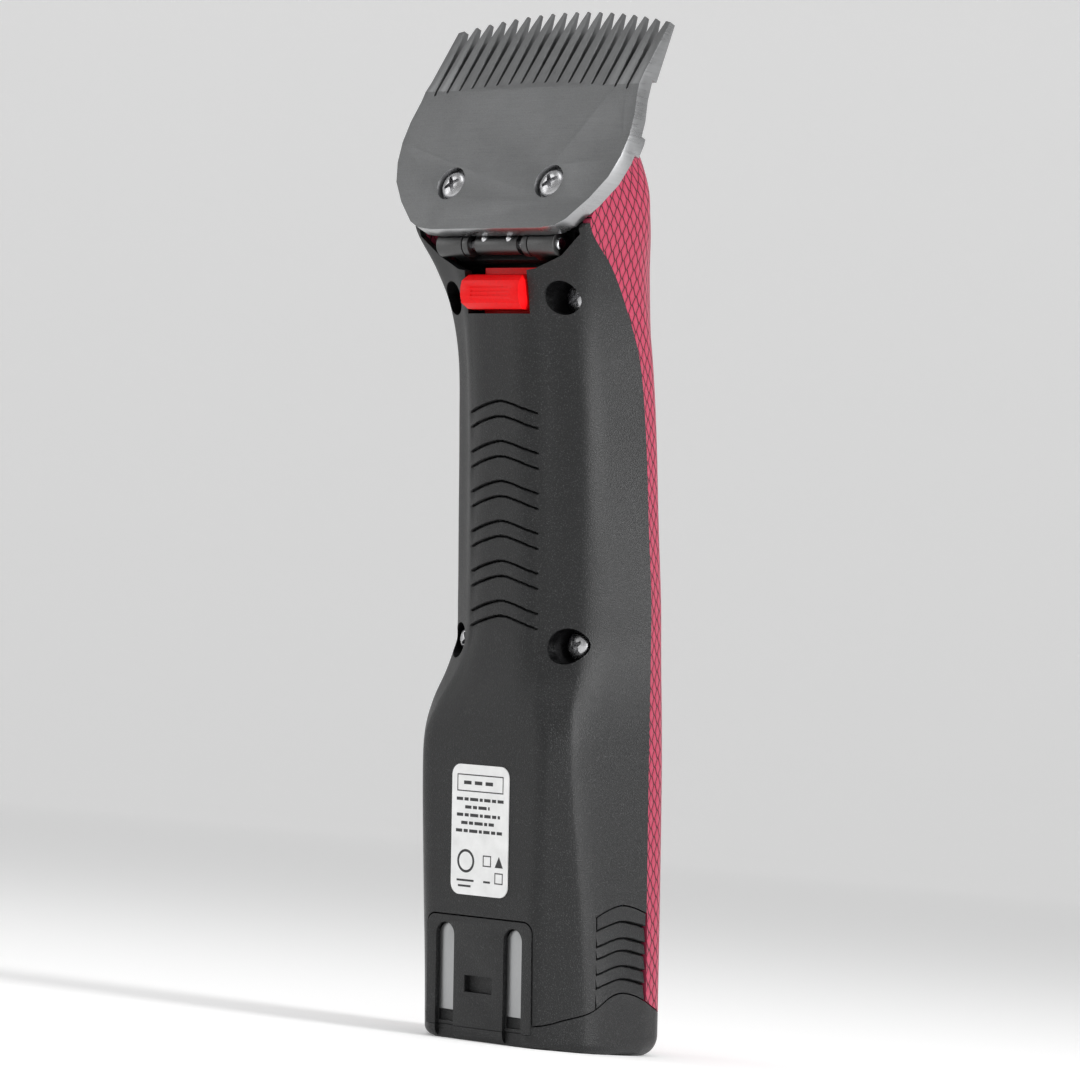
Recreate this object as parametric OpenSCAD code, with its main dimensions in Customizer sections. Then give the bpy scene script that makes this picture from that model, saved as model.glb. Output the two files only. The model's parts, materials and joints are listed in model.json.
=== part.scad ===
// Cordless animal clipper for sheep, cattle and horses: a two-shell handle that
// holds a motor and an eccentric drive, a clip-on blade set on a hinged tongue,
// and a battery pack that slides out of the foot.
// The parts are drawn in the handle's own frame (X across, -Y the underside with
// the screws, Z towards the blades) and are then leaned so the foot stands flat.

/* [Stance] */
// Lean of the handle when it stands on its foot, degrees
lean = 6.3; // [0:0.1:8]

/* [Housing] */
// Wall of the two handle shells
wall = 2.0; // [1.8:0.1:2.4]
// Gap between neighbouring moulded parts
gap = 0.3; // [0.2:0.05:0.4]
// Distance of the four housing screws from the middle plane
screw_x = 14.5; // [14:0.1:15]
// Height of the lower pair of housing screws
low_screw_z = 79.8; // [79:0.1:81]
// Height of the upper pair of housing screws
high_screw_z = 147.3; // [147:0.1:148]
// Radius of the screw recesses
recess_r = 3.3; // [3.2:0.1:3.5]

/* [Blade set] */
// Tilt of the blades from the handle's axis, degrees
blade_tilt = 24; // [23:0.5:25]
// Number of comb teeth
comb_teeth = 18; // [16:1:20]
// Half the width over the outermost tooth centres
tooth_span = 27.3; // [26.5:0.1:27.5]
// Comb plate thickness behind the teeth
comb_plate = 3.4; // [3.2:0.1:3.5]
// Comb thickness at the teeth, down to the running face
comb_depth = 4.6; // [4.5:0.1:4.8]
// Number of cutter teeth
cutter_teeth = 13; // [11:2:15]
// Spacing of the two blade screws from the middle plane
blade_screw_x = 13.1; // [12.8:0.1:13.4]

/* [Battery] */
// Radius of one cell
cell_r = 9.2; // [9.1:0.05:9.3]
// Length of one cell
cell_l = 65; // [64:0.5:65.5]

/* [Drive] */
// Radius of the motor can
motor_r = 12.2; // [11.5:0.1:12.5]
// Length of the motor can
motor_l = 32; // [30:0.5:33]
// Throw of the eccentric
throw = 0.8; // [0.6:0.1:0.9]

/* [Hidden] */
$fn = 48;

// Rows of the handle's cross-section, up the handle. Each holds the height, the
// back face, then x and y of the ridge, valley, bulge, seam, crease and brow
// points, and last the front face. The seam is where the two shells meet.
ROWS = [
  [ -6, -18.7, 13.8, -18.7, 18.5, -14.3, 22.5,  -9.9, 22.8,   4.7, 21.6, 10.4, 14.0, 16.8, 18.8],
  [ 12, -18.7, 14.2, -18.7, 18.6, -14.5, 22.6, -10.2, 22.9,   4.7, 21.7, 10.4, 14.0, 17.0, 19.0],
  [ 30, -18.7, 14.9, -18.7, 18.5, -15.2, 22.1, -11.7, 22.9,   4.7, 21.7, 10.4, 14.0, 17.1, 19.1],
  [ 54, -18.7, 15.8, -18.7, 18.3, -16.3, 20.8, -13.8, 22.8,   4.7, 21.6, 10.4, 14.0, 17.0, 19.0],
  [ 62, -18.5, 15.5, -18.4, 18.0, -16.2, 20.5, -13.6, 22.8,   4.7, 21.5, 10.3, 14.0, 16.8, 18.8],
  [ 68, -17.5, 13.2, -17.1, 16.2, -15.2, 19.6, -12.7, 22.8,   4.7, 21.4, 10.2, 14.0, 16.6, 18.5],
  [ 74, -15.6, 10.9, -14.7, 13.9, -13.0, 18.7, -10.2, 22.8,   4.7, 21.3, 10.0, 14.0, 16.4, 18.2],
  [ 80, -14.5,  9.9, -13.2, 12.8, -11.4, 18.1,  -8.3, 22.8,   4.7, 21.2,  9.9, 14.0, 16.2, 18.0],
  [ 88, -14.2,  9.8, -12.9, 12.6, -11.1, 18.1,  -8.1, 22.7,   4.7, 21.0,  9.9, 13.8, 16.0, 17.9],
  [104, -14.6,  9.6, -13.3, 12.4, -11.2, 18.2,  -8.3, 21.6,   4.7, 19.9,  9.9, 13.5, 15.6, 17.6],
  [122, -15.3,  9.4, -13.9, 12.3, -11.5, 18.1,  -8.7, 20.5,   4.6, 18.9,  9.9, 13.0, 14.9, 17.0],
  [136, -16.0,  9.2, -14.9, 12.1, -12.5, 17.7,  -9.6, 20.3,   2.6, 18.8,  8.4, 13.4, 13.6, 16.0],
  [146, -16.8,  9.4, -16.0, 12.6, -13.9, 18.5, -11.4, 20.7,  -2.1, 20.0,  4.8, 15.0, 11.8, 15.0],
  [153, -17.6, 10.5, -17.0, 14.2, -15.5, 20.2, -13.6, 21.9,  -7.4, 21.0,  2.8, 16.0, 10.6, 14.0],
  [161.5,-18.6,14.0, -18.2, 18.2, -17.5, 22.6, -16.7, 23.4, -15.6, 22.2,  2.4, 17.2,  9.0, 12.4],
  [168, -18.6, 14.0, -18.2, 18.2, -17.5, 22.6, -16.7, 23.0, -10.1, 21.6,  3.6, 17.0,  7.6, 10.6],
  [174, -18.6, 14.0, -18.2, 18.2, -17.5, 22.6, -16.7, 22.0,  -5.2, 19.8,  3.4, 15.6,  6.4,  8.6],
  [179, -18.6, 14.0, -18.2, 18.2, -17.5, 22.6, -16.7, 20.2,  -3.2, 17.4,  2.8, 13.5,  5.0,  6.6],
  [185, -18.6, 14.0, -18.2, 18.2, -17.5, 22.6, -16.7, 16.8,  -1.4, 14.4,  1.8, 11.0,  3.0,  4.0],
  [188, -18.6, 14.0, -18.2, 18.2, -17.5, 22.6, -16.7, 14.5,  -0.6, 12.4,  0.8,  9.5,  1.6,  2.2]];
BACK_TOP = 161.5;
NOSE_TOP = 187;
// Parting line of the foot cap on the side, as [y, z] from back to front
PARTING = [[-30, 6.2], [-18.7, 6.2], [-14, 7.6], [-9.5, 9.3], [-5.5, 11.6], [-2.2, 12.3],
           [1.2, 11.7], [4.7, 10.3], [9, 8.2], [14, 6.4], [19, 5.2], [30, 5.2]];

// Blade frame: origin on the comb's rear outer edge; its y runs inwards from the
// comb's outer face and its z along the blade towards the tips.
blade_origin = [0, -20.6, 160.6];
hinge_in = 5.9;
hinge_up = -0.6;
hinge_r = 2.4;
pin_r = 1.25;
curl_r = 2.0;
tongue_in = 4.9;
tongue_t = 1.2;
socket_t = 1.2;
comb_len = 49.3;
root_l = 31.9;
root_arc = 149;
tip_arc = 106;
bevel_l = 30.6;
pitch = 2 * tooth_span / (comb_teeth - 1);
cutter_t = 1.8;
cutter_l = 45.4;
cutter_rear = 17.4;
run_gap = 0.05;

// Drive line, in the handle frame
drive_y = 1.2;
motor_z = 86;
ecc_z = motor_z + motor_l + 5;
bearing_r = 5;
bearing_z = ecc_z + 4.2;
lever_pivot_z = 150;
lever_pin_r = 2;

// Shift that brings the middle of the standing clipper over the origin
foot_shift = 9.57;

// Battery pack, in the handle frame
pack_y = -0.7;
cell_x = cell_r + 0.1;
case_wall = 1.0;
case_r = cell_r + case_wall + 0.1;
case_top = 72.5;
cell_z = 5.8;
door_x = 13.9;
door_top = 26.3;
slot_x = 9.1;
slot_w = 4.9;
slot_top = 24.9;
slot_deep = 0.9;
strip_r = slot_w / 2 - 0.25;
latch_y0 = -8.8;
latch_y1 = 4.4;
latch_top = 29.4;

// Finger ribs on the back
rib_count = 6;
rib_pitch = 7.8;
rib_top = 127.4;

// Buttons
power_z = 131;
led_z = 120.5;
power_r = 5.2;

// ---------------------------------------------------------------- helpers
module stand() translate([0, foot_shift, 0]) rotate([lean, 0, 0]) children();
module on_blade() translate(blade_origin) rotate([-blade_tilt, 0, 0]) children();
module both_sides() { children(); mirror([1, 0, 0]) children(); }
// A cylinder along Y from y0 to y1
module rod_y(r, x, y0, y1, z) translate([x, y1, z]) rotate([90, 0, 0]) cylinder(r = r, h = y1 - y0);
// A cylinder along X from x0 to x1
module rod_x(r, x0, x1, y, z) translate([x0, y, z]) rotate([0, 90, 0]) cylinder(r = r, h = x1 - x0);
// A box from its low to its high corner
module span(lo, hi) translate(lo) cube(hi - lo);
// A prism along X with its outline given as [y, z]
module side_prism(points, x0, x1) translate([x0, 0, 0]) rotate([90, 0, 90])
  linear_extrude(height = x1 - x0) polygon(points);
// A prism along Y with its outline given as [x, z]
module face_prism(points, y0, y1) translate([0, y1, 0]) rotate([90, 0, 0])
  linear_extrude(height = y1 - y0) polygon(points);
function arc(cx, cy, r, a0, a1, n) =
  [for (i = [0:n]) let (a = a0 + (a1 - a0) * i / n) [cx + r * cos(a), cy + r * sin(a)]];
function rounded(w, h, r, n = 5) = concat(
  arc(w / 2 - r, h / 2 - r, r, 0, 90, n), arc(r - w / 2, h / 2 - r, r, 90, 180, n),
  arc(r - w / 2, r - h / 2, r, 180, 270, n), arc(w / 2 - r, r - h / 2, r, 270, 360, n));
function moved(points, x, y) = [for (p = points) [p[0] + x, p[1] + y]];

// Smooth row at height z, by cubic interpolation between the rows
function row_index(z, i = 0) = i >= len(ROWS) - 2 || z < ROWS[i + 1][0] ? i : row_index(z, i + 1);
function slope(i) = i == 0 ? (ROWS[1] - ROWS[0]) / (ROWS[1][0] - ROWS[0][0])
  : i == len(ROWS) - 1 ? (ROWS[i] - ROWS[i - 1]) / (ROWS[i][0] - ROWS[i - 1][0])
  : (ROWS[i + 1] - ROWS[i - 1]) / (ROWS[i + 1][0] - ROWS[i - 1][0]);
function row_at(z) = let (i = row_index(z), h = ROWS[i + 1][0] - ROWS[i][0], t = (z - ROWS[i][0]) / h)
  ROWS[i] * (1 + t * t * (2 * t - 3)) + ROWS[i + 1] * t * t * (3 - 2 * t)
  + slope(i) * h * t * (1 - t) * (1 - t) - slope(i + 1) * h * t * t * (1 - t);
// Control points of the back half (middle to seam) and of the front half (seam to middle)
function back_ctl(r, t) = [[0, r[1] + t], [r[2] * 0.6, r[1] + t], [r[2] - 0.5 * t, r[3] + t],
  [r[4] - 0.8 * t, r[5] + 0.8 * t], [r[6] - t, r[7] + 0.5 * t], [r[8] - t, r[9]]];
function front_ctl(r, t) = [[r[8] - t, r[9]], [r[10] - t, r[11] - 0.3 * t],
  [r[12] - 0.7 * t, r[13] - 0.8 * t], [r[12] * 0.4, r[14] - t], [0, r[14] - t]];
// Quadratic spline that rounds the corners of a control line and keeps its two ends
function mid(p, q) = (p + q) / 2;
function spline(c, n) = concat([c[0]],
  [for (i = [1:len(c) - 2])
    let (a = i == 1 ? c[0] : mid(c[i - 1], c[i]), b = i == len(c) - 2 ? c[i + 1] : mid(c[i], c[i + 1]))
    for (k = [1:n]) let (t = k / n) (1 - t) * (1 - t) * a + 2 * t * (1 - t) * c[i] + t * t * b]);
function reversed(v) = [for (i = [len(v) - 1:-1:0]) v[i]];
function flip(v) = [for (p = v) [-p[0], p[1]]];
// Both halves of a line that starts on the middle plane
function whole(v) = concat(reversed(flip(v)), [for (i = [1:len(v) - 1]) v[i]]);
function at_height(v, z) = [for (p = v) [p[0], p[1], z]];
// A solid through rings of equal point counts
module loft(rings) {
  n = len(rings[0]);
  m = len(rings);
  polyhedron(points = [for (r = rings) for (p = r) p],
    faces = concat([[for (i = [0:n - 1]) i]], [[for (i = [n - 1:-1:0]) (m - 1) * n + i]],
      [for (j = [0:m - 2]) for (i = [0:n - 1]) let (k = (i + 1) % n, a = j * n, b = (j + 1) * n)
        each [[a + i, b + i, b + k], [a + i, b + k, a + k]]]));
}
steps = 2;
function shell_ring_back(z) = let (r = row_at(z)) at_height(concat(
  whole(spline(back_ctl(r, 0), steps)), reversed(whole(spline(back_ctl(r, wall), steps)))), z);
// Above the nose line the front shell's hollow closes to the chord between its rims
function nose_fill(z) = min(1, max(0, (z - 178) / 5));
function front_inner(r, z) = [for (p = spline(front_ctl(r, wall), steps))
  let (w = nose_fill(z)) p * (1 - w) + [p[0], r[9] + 0.2] * w];
function shell_ring_front(z) = let (r = row_at(z)) at_height(concat(
  reversed(whole(reversed(spline(front_ctl(r, 0), steps)))), whole(reversed(front_inner(r, z)))), z);
// Heights of the rings, closer together where the outline turns; the two shells share those of the seam
BACK_RINGS = [1, 30, 60, 65, 70, 75, 81, 96, 112, 122, 132, 140, 147, 153, 158, BACK_TOP];
FRONT_RINGS = [1, 30, 60, 65, 70, 75, 81, 96, 112, 122, 132, 140, 147, 153, 158, BACK_TOP,
               168, 174, 179, 183, NOSE_TOP];
function full_ring(z, t) = let (r = row_at(z)) at_height(concat(
  whole(spline(back_ctl(r, t), steps)),
  [for (p = spline(front_ctl(r, t), steps)) if (p[0] > 0.01 && p[0] < r[8] - t - 0.001) p],
  [[0, r[14] - t]],
  [for (p = reversed(spline(front_ctl(r, t), steps)))
    if (p[0] > 0.01 && p[0] < r[8] - t - 0.001) [-p[0], p[1]]]), z);
// Everything under the foot cap's parting line, moved up by dz
module below_parting(dz) side_prism(concat(moved(PARTING, 0, dz), [[30, -30], [-30, -30]]), -40, 40);
// Everything under the flat foot
module under_foot() rotate([-lean, 0, 0]) translate([-60, -60, -40]) cube([120, 120, 40]);

// ---------------------------------------------------------------- housing
// The closed outer form of the handle through these heights
module outer_form(zs) loft([for (z = zs) full_ring(z, 0.3)]);
// Opening at the top of the back shell, for the hinge, and under it the release button's pocket
HINGE_OPENING = [[-8.3, 144.2], [8.3, 144.2], [8.3, 152.6], [10.3, 152.9], [16.2, 155.4], [21.3, 159.4],
                 [21.3, 170], [-21.3, 170], [-21.3, 159.4], [-16.2, 155.4], [-10.3, 152.9], [-8.3, 152.6]];
// One finger rib on the back: a low bow, built from four round-ended bars
module grip_rib(z) {
  xs = [-8, -4, 0, 4, 8];
  for (i = [0:3]) hull() for (x = [xs[i], xs[i + 1]])
    translate([x, row_at(z)[1] + 0.2 + x * x * 0.008, z - x * x * 0.031]) sphere(r = 0.7, $fn = 8);
}
// Where the heads of the upper and the lower housing screws seat
high_head_y = -8;
low_head_y = -6.2;
module back_shell() color("#2b2d2c") difference() {
  union() {
    loft([for (z = BACK_RINGS) shell_ring_back(z)]);
    intersection() {
      both_sides() {
        rod_y(4.4, screw_x, -10.5, -3.4, low_screw_z);
        rod_y(4.4, screw_x, -12.6, -4.2, high_screw_z);
      }
      outer_form([70, 76, 82, 90, 138, 146, 151, 156]);
    }
    for (i = [0:rib_count - 1]) grip_rib(rib_top - i * rib_pitch);
  }
  below_parting(gap);
  under_foot();
  span([-door_x - gap, -30, -10], [door_x + gap, -10, door_top + gap]);
  both_sides() span([15, latch_y0 - gap, -5], [30, 8, latch_top + gap]);
  face_prism(HINGE_OPENING, -30, -9);
  both_sides() translate([cell_x, pack_y, 60]) cylinder(r = case_r + gap, h = case_top + gap - 60);
  on_blade() span([-30, -5, -1], [30, comb_plate + gap, 20]);
  both_sides() {
    rod_y(recess_r, screw_x, -30, high_head_y, high_screw_z);
    rod_y(1.7, screw_x, -10, 0, high_screw_z);
    rod_y(recess_r + 0.2, screw_x, -30, low_head_y, low_screw_z);
    rod_y(1.7, screw_x, -10, 0, low_screw_z);
  }
}
// Low rib inside the front shell, built from three bars
module stiffening_rib(z) {
  r = row_at(z);
  xs = [-r[12] * 0.75, -r[12] * 0.3, r[12] * 0.3, r[12] * 0.75];
  ys = [r[13], r[14], r[14], r[13]];
  for (i = [0:2]) hull() for (k = [i, i + 1])
    translate([xs[k], ys[k] - wall - 0.8, z]) cube([1.2, 1.8, 1.2], center = true);
}
module front_shell() color("#c8415b") difference() {
  union() {
    loft([for (z = FRONT_RINGS) shell_ring_front(z)]);
    both_sides() {
      rod_y(2.6, screw_x, -3.2, 12.5, low_screw_z);
      rod_y(3.0, screw_x, 3, 8.2, high_screw_z);
    }
    for (z = [98, 105, 118]) stiffening_rib(z);
  }
  below_parting(gap);
  both_sides() {
    rod_y(1.25, screw_x, -5, 10, low_screw_z);
    rod_y(1.25, screw_x, 2, 10, high_screw_z);
    span([15, latch_y0 - gap, -5], [30, latch_y1 + 0.6, latch_top + gap]);
  }
  rod_y(power_r + 0.35, 0, 8, 30, power_z);
  rod_y(1.3, 0, 8, 30, led_z);
}
module housing_screw(y, z) {
  difference() {
    translate([screw_x, y, z]) rotate([-90, 0, 0]) union() {
      translate([0, 0, -2.1]) cylinder(r = 2.75, h = 2.1);
      cylinder(r = 1.2, h = 14);
    }
    translate([screw_x, y - 2.2, z]) {
      translate([-1.6, 0, -0.35]) cube([3.2, 1.2, 0.7]);
      translate([-0.35, 0, -1.6]) cube([0.7, 1.2, 3.2]);
    }
  }
}
module housing_screws() color("#d9dadb") both_sides() {
  housing_screw(high_head_y, high_screw_z);
  housing_screw(low_head_y, low_screw_z);
}
module rating_plate() color("#f4f4f2") face_prism(moved(rounded(15.2, 25.5, 2.2), 0, 43.4), -18.95, -18.72);

// Moulded frame inside the head: the blade seat, two arms, the pivot carriers and the hinge lip
FRAME_SEAT = [[-17.5, 3.2], [17.5, 3.2], [19.6, 8], [18.6, 16], [14.5, 24.5],
              [-14.5, 24.5], [-18.6, 16], [-19.6, 8]];
FRAME_ARM = [[-4, 143.6], [2.3, 143.6], [2.3, 152.6], [-6.9, 161.8], [-11.9, 160.2],
             [-11.9, 155], [-9.5, 152.3], [-4, 152.3]];
module head_frame() color("#1c1d1d") difference() {
  union() {
    on_blade() face_prism(FRAME_SEAT, 8.4, 10.8);
    on_blade() span([-12.4, 8.6, -2.6], [12.4, 10.6, 4.1]);
    both_sides() side_prism(FRAME_ARM, 10.2, 15.9);
    both_sides() side_prism([[-2, 151.2], [8.2, 151.2], [8.2, 154.4], [-2, 158.6]], 9.8, 13.6);
    span([-9.8, -8.6, 145.3], [9.8, -5.3, 154.7]);
    span([-11.2, -8.4, 152.7], [11.2, -5.5, 154.5]);
    span([-11.2, 5.9, 146.8], [11.2, 8.0, 153.9]);
  }
  on_blade() span([-5.6, 2, 12], [5.6, 14, 23]);
  rod_y(lever_pin_r + 0.02, 0, -12, 10, lever_pivot_z);
  both_sides() {
    rod_y(1.8, screw_x, -12, 12, high_screw_z);
    on_blade() span([9.25, 8, -1.55], [12.15, 10.4, -0.25]);
  }
}

// ---------------------------------------------------------------- blade set
// Half outline of the comb from its rear edge to the teeth, as [x, length]
COMB_SIDE = [[14.5, 0], [18.3, 0.5], [20.8, 1.8], [25.2, 6.2], [28.4, 10.6], [29.9, 15], [30.4, 19.5],
             [30.0, 24], [28.9, 28.5], [28.4, 33]];
function tip_line(x) = comb_len - x * x / (2 * tip_arc);
function root_line(x) = root_l - x * x / (2 * root_arc);
comb_outline = concat(COMB_SIDE, [for (x = [28.4:-2:-28.4]) [x, tip_line(x)]], [[-28.4, tip_line(28.4)]],
  [for (p = reversed(COMB_SIDE)) [-p[0], p[1]]]);
// A gap between two teeth, narrow at its root and flared at the tips
function tooth_gap(x) = let (a = root_line(x), b = tip_line(x)) [
  [x - 0.3, a + 0.1], [x, a - 0.25], [x + 0.3, a + 0.1], [x + 0.52, a + 6], [x + 0.72, b - 5.5],
  [x + 0.98, b - 2.6], [x + 1.22, b - 1.1], [x + 1.6, b + 1.5], [x - 1.6, b + 1.5], [x - 1.22, b - 1.1],
  [x - 0.98, b - 2.6], [x - 0.72, b - 5.5], [x - 0.52, a + 6]];
module comb_blade() color("#8d8f90") on_blade() difference() {
  face_prism(comb_outline, 0, comb_depth);
  for (i = [0:comb_teeth - 2])
    face_prism(tooth_gap((i - (comb_teeth - 2) / 2) * pitch), -1, comb_depth + 1);
  span([-40, comb_plate, -5], [40, 8, cutter_rear - 0.6]);
  span([-40, comb_plate, cutter_rear + 3.4], [40, 8, root_l + 1.2]);
  rod_x(hinge_r + 0.3, -17.5, 17.5, hinge_in, hinge_up);
  side_prism([[-2, bevel_l - 1], [0, bevel_l], [comb_depth - 0.7, comb_len - 0.4],
    [comb_depth - 0.5, comb_len + 3], [-2, comb_len + 3]], -40, 40);
  both_sides() {
    rod_y(3.5, blade_screw_x, -1, 1.9, 10);
    rod_y(1.6, blade_screw_x, 0, 6, 10);
  }
}
module blade_screws() color("#c9cacb") on_blade() both_sides() difference() {
  union() {
    rod_y(3.0, blade_screw_x, 0.15, 1.85, 10);
    rod_y(1.45, blade_screw_x, 1.8, 5.6, 10);
  }
  span([blade_screw_x - 1.8, -1, 9.65], [blade_screw_x + 1.8, 1.1, 10.35]);
  span([blade_screw_x - 0.35, -1, 8.2], [blade_screw_x + 0.35, 1.1, 11.8]);
}
// Folded plate under the comb with two channels that slide over the tongue
module blade_socket() color("#b5b6b8") on_blade() difference() {
  union() {
    face_prism([[-16.5, 5], [16.5, 5], [16.5, 14.5], [11, 16.2], [-11, 16.2], [-16.5, 14.5]],
      comb_plate, comb_plate + socket_t);
    both_sides() {
      span([8.9, comb_plate + socket_t - 0.1, 5], [10.1, 7.3, 16.2]);
      span([6.4, 6.4, 5], [10.1, 7.3, 16.2]);
    }
  }
  both_sides() rod_y(1.45, blade_screw_x, 2, 8, 10);
}
// Bow spring that presses the cutter onto the comb
module tension_spring() color("#9b9da0") on_blade() both_sides() {
  span([10.6, 6.6 + run_gap, 6], [12.6, 7.3, 27]);
  span([10.6, comb_plate + socket_t, 6], [12.2, 6.7, 7]);
  span([10.6, 6.4 + run_gap, 25.5], [14.6, 7.3, 27]);
}
module cutter_blade() color("#77797b") on_blade() difference() {
  face_prism(concat([[-23.5, cutter_rear], [23.5, cutter_rear], [24.6, 26]],
    [for (x = [24.6:-2.05:-24.6]) [x, cutter_l - x * x / (2 * tip_arc)]], [[-24.6, 26]]),
    comb_depth + run_gap, comb_depth + cutter_t);
  for (i = [0:cutter_teeth]) let (x = (i - cutter_teeth / 2) * 3.7, b = cutter_l - x * x / (2 * tip_arc))
    face_prism([[x - 0.5, b - 8.6], [x + 0.5, b - 8.6], [x + 1.3, b + 1], [x - 1.3, b + 1]], 0, 10);
  face_prism([[-8, 21.5], [8, 21.5], [8, 26], [-8, 26]], 0, 10);
}
// Moulded block in the cutter with the slot that takes the lever's finger
module cutter_guide() color("#262727") on_blade() difference() {
  union() {
    span([-7.9, comb_depth + 0.3, 21.6], [7.9, comb_depth + cutter_t, 25.9]);
    span([-7.9, comb_depth + cutter_t, 18], [7.9, 7.3, 26.4]);
  }
  span([-2.75, comb_depth + cutter_t - 0.1, 10], [2.75, 10, 23.5]);
}

// ---------------------------------------------------------------- hinge
module hinge_tongue() color("#a9abad") on_blade() difference() {
  union() {
    span([-8.5, tongue_in, 0.2], [8.5, tongue_in + tongue_t, 15.2]);
    rod_x(curl_r, -8.0, 8.0, hinge_in, hinge_up);
    both_sides() rod_x(hinge_r, 7.2, 8.6, hinge_in, hinge_up);
  }
  rod_x(pin_r + 0.05, -20, 20, hinge_in, hinge_up);
  both_sides() span([5.6, 0, -6], [7.2, 12, 0.6]);
}
module tongue_rivets() color("#c4c6c8") on_blade() both_sides() difference() {
  translate([3.3, hinge_in - 1.6, hinge_up + 0.4]) sphere(r = 0.8, $fn = 24);
  rod_x(curl_r, -8.6, 8.6, hinge_in, hinge_up);
}
module hinge_pin() color("#8e9092") on_blade() rod_x(pin_r, -15.9, 15.9, hinge_in, hinge_up);
// Two knuckles that hold the pin, each with a tang pressed into the frame's lip
module hinge_bracket() color("#8b8d8f") on_blade() difference() {
  both_sides() {
    rod_x(hinge_r, 8.9, 15.6, hinge_in, hinge_up);
    span([8.9, hinge_in + 0.5, -2.9], [12.4, 8.5, 1.4]);
    span([9.3, 7.4, -1.5], [12.1, 10.3, -0.3]);
  }
  rod_x(pin_r, -20, 20, hinge_in, hinge_up);
}

// ---------------------------------------------------------------- release button
// Half-round bar with slanted ends, grooved along its crown, on a flange behind the shell
KEY_SECTION = [[-15.2, 144.9], [-17.2, 145.1], [-18.5, 146.2], [-18.9, 147.6], [-18.9, 149.2],
               [-18.5, 150.6], [-17.2, 151.7], [-15.2, 151.9], [-12.2, 151.9], [-12.2, 144.9]];
module release_button() color("#e8120e") difference() {
  union() {
    intersection() {
      side_prism(KEY_SECTION, -7.9, 7.9);
      face_prism([[-7.8, 146.2], [-7, 144.5], [7, 144.5], [7.8, 146.2], [7.8, 150.6], [7, 152.3],
                  [-7, 152.3], [-7.8, 150.6]], -20, -12);
    }
    span([-7, -12.6, 143.6], [7, -11.4, 153.2]);
  }
  for (i = [0:3]) span([-5.0, -19.2, 146.75 + i * 0.8], [5.0, -18.72, 147.05 + i * 0.8]);
}
module release_spring() color("#c0c2c4") rod_y(2.0, 0, -11.35, -9.25, 148.4);

// ---------------------------------------------------------------- drive
module motor_can() color("#9fa1a3") difference() {
  union() {
    translate([0, drive_y, motor_z]) cylinder(r = motor_r, h = motor_l);
    translate([0, drive_y, motor_z + motor_l - 0.1]) cylinder(r = 5, h = 2.1);
  }
  translate([0, drive_y, motor_z - 1]) cylinder(r = motor_r - 0.8, h = motor_l);
  translate([0, drive_y, motor_z + motor_l - 2]) cylinder(r = 3.0, h = 10);
}
module motor_end_cap() color("#1f2a33") difference() {
  translate([0, drive_y, motor_z - 2]) cylinder(r = motor_r - 0.85, h = 3.8);
  translate([0, drive_y, motor_z - 5]) cylinder(r = 1.05, h = 10);
}
module motor_terminals() color("#c8a14a") both_sides()
  span([6.4, drive_y - 0.3, motor_z - 6], [8.4, drive_y + 0.3, motor_z - 2]);
module motor_magnets() color("#4a4b4e") translate([0, drive_y, motor_z + 6]) for (a = [30, 210])
  rotate([0, 0, a]) rotate_extrude(angle = 120) translate([8.6, 0]) square([2.7, 20]);
module motor_mount() color("#2f3031") for (z = [motor_z + 3, motor_z + 23])
  translate([0, drive_y, z]) difference() {
    cylinder(r = motor_r + 1.0, h = 5);
    translate([0, 0, -1]) cylinder(r = motor_r, h = 7);
  }
module front_bearing() color("#b08a4e") translate([0, drive_y, motor_z + motor_l - 1.9]) difference() {
  cylinder(r = 2.95, h = 3.8);
  translate([0, 0, -1]) cylinder(r = 1.05, h = 7);
}
module motor_shaft() color("#cfd1d3") translate([0, drive_y, motor_z - 3])
  cylinder(r = 1.0, h = ecc_z + 6.4 - motor_z);
module motor_armature() color("#7d5b3a") translate([0, drive_y, motor_z + 7]) difference() {
  union() {
    cylinder(r = 8.2, h = 18);
    translate([0, 0, -1.4]) cylinder(r = 6.4, h = 20.8);
  }
  for (a = [0, 120, 240]) rotate([0, 0, a]) translate([4.6, -0.8, -3]) cube([6, 1.6, 24]);
  translate([0, 0, -5]) cylinder(r = 1.0, h = 40);
}
module commutator() color("#b87333") translate([0, drive_y, motor_z + 2.2]) difference() {
  cylinder(r = 3.0, h = 3.2);
  translate([0, 0, -1]) cylinder(r = 1.0, h = 6);
}
module eccentric() color("#b9bbbd") translate([0, drive_y, ecc_z]) difference() {
  union() {
    cylinder(r = 4.6, h = 3.6);
    translate([0, throw, 3.5]) cylinder(r = 2, h = 6);
  }
  translate([0, 0, -1]) cylinder(r = 1.0, h = 4.4);
}
module eccentric_bearing() color("#d6d7d8") translate([0, drive_y + throw, bearing_z]) difference() {
  cylinder(r = bearing_r, h = 4);
  translate([0, 0, -1]) cylinder(r = 2, h = 6);
}
module drive_lever() color("#a4a6a8") difference() {
  union() {
    both_sides() span([bearing_r + 1.9, drive_y - 2.6, ecc_z + 4], [bearing_r + 4.2, drive_y + 2.6, 138]);
    span([-bearing_r - 4.2, drive_y - 2.6, 135.2], [bearing_r + 4.2, drive_y + 2.6, 138.4]);
    span([-3, -2.4, 138], [3, 3, 156]);
    rod_y(5, 0, -3.6, 4.2, lever_pivot_z);
    on_blade() span([-2.4, 6.7, 15.4], [2.4, 13.6, 20]);
    side_prism([[-2.4, 154], [3, 154], [3, 157], [-1.9, 172.4], [-4.6, 171.5]], -2.4, 2.4);
  }
  rod_y(2.9, 0, -10, 10, lever_pivot_z);
}
module lever_bush() color("#b08a4e") difference() {
  rod_y(2.9, 0, -3.6, 4.2, lever_pivot_z);
  rod_y(lever_pin_r + 0.04, 0, -10, 10, lever_pivot_z);
}
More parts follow.
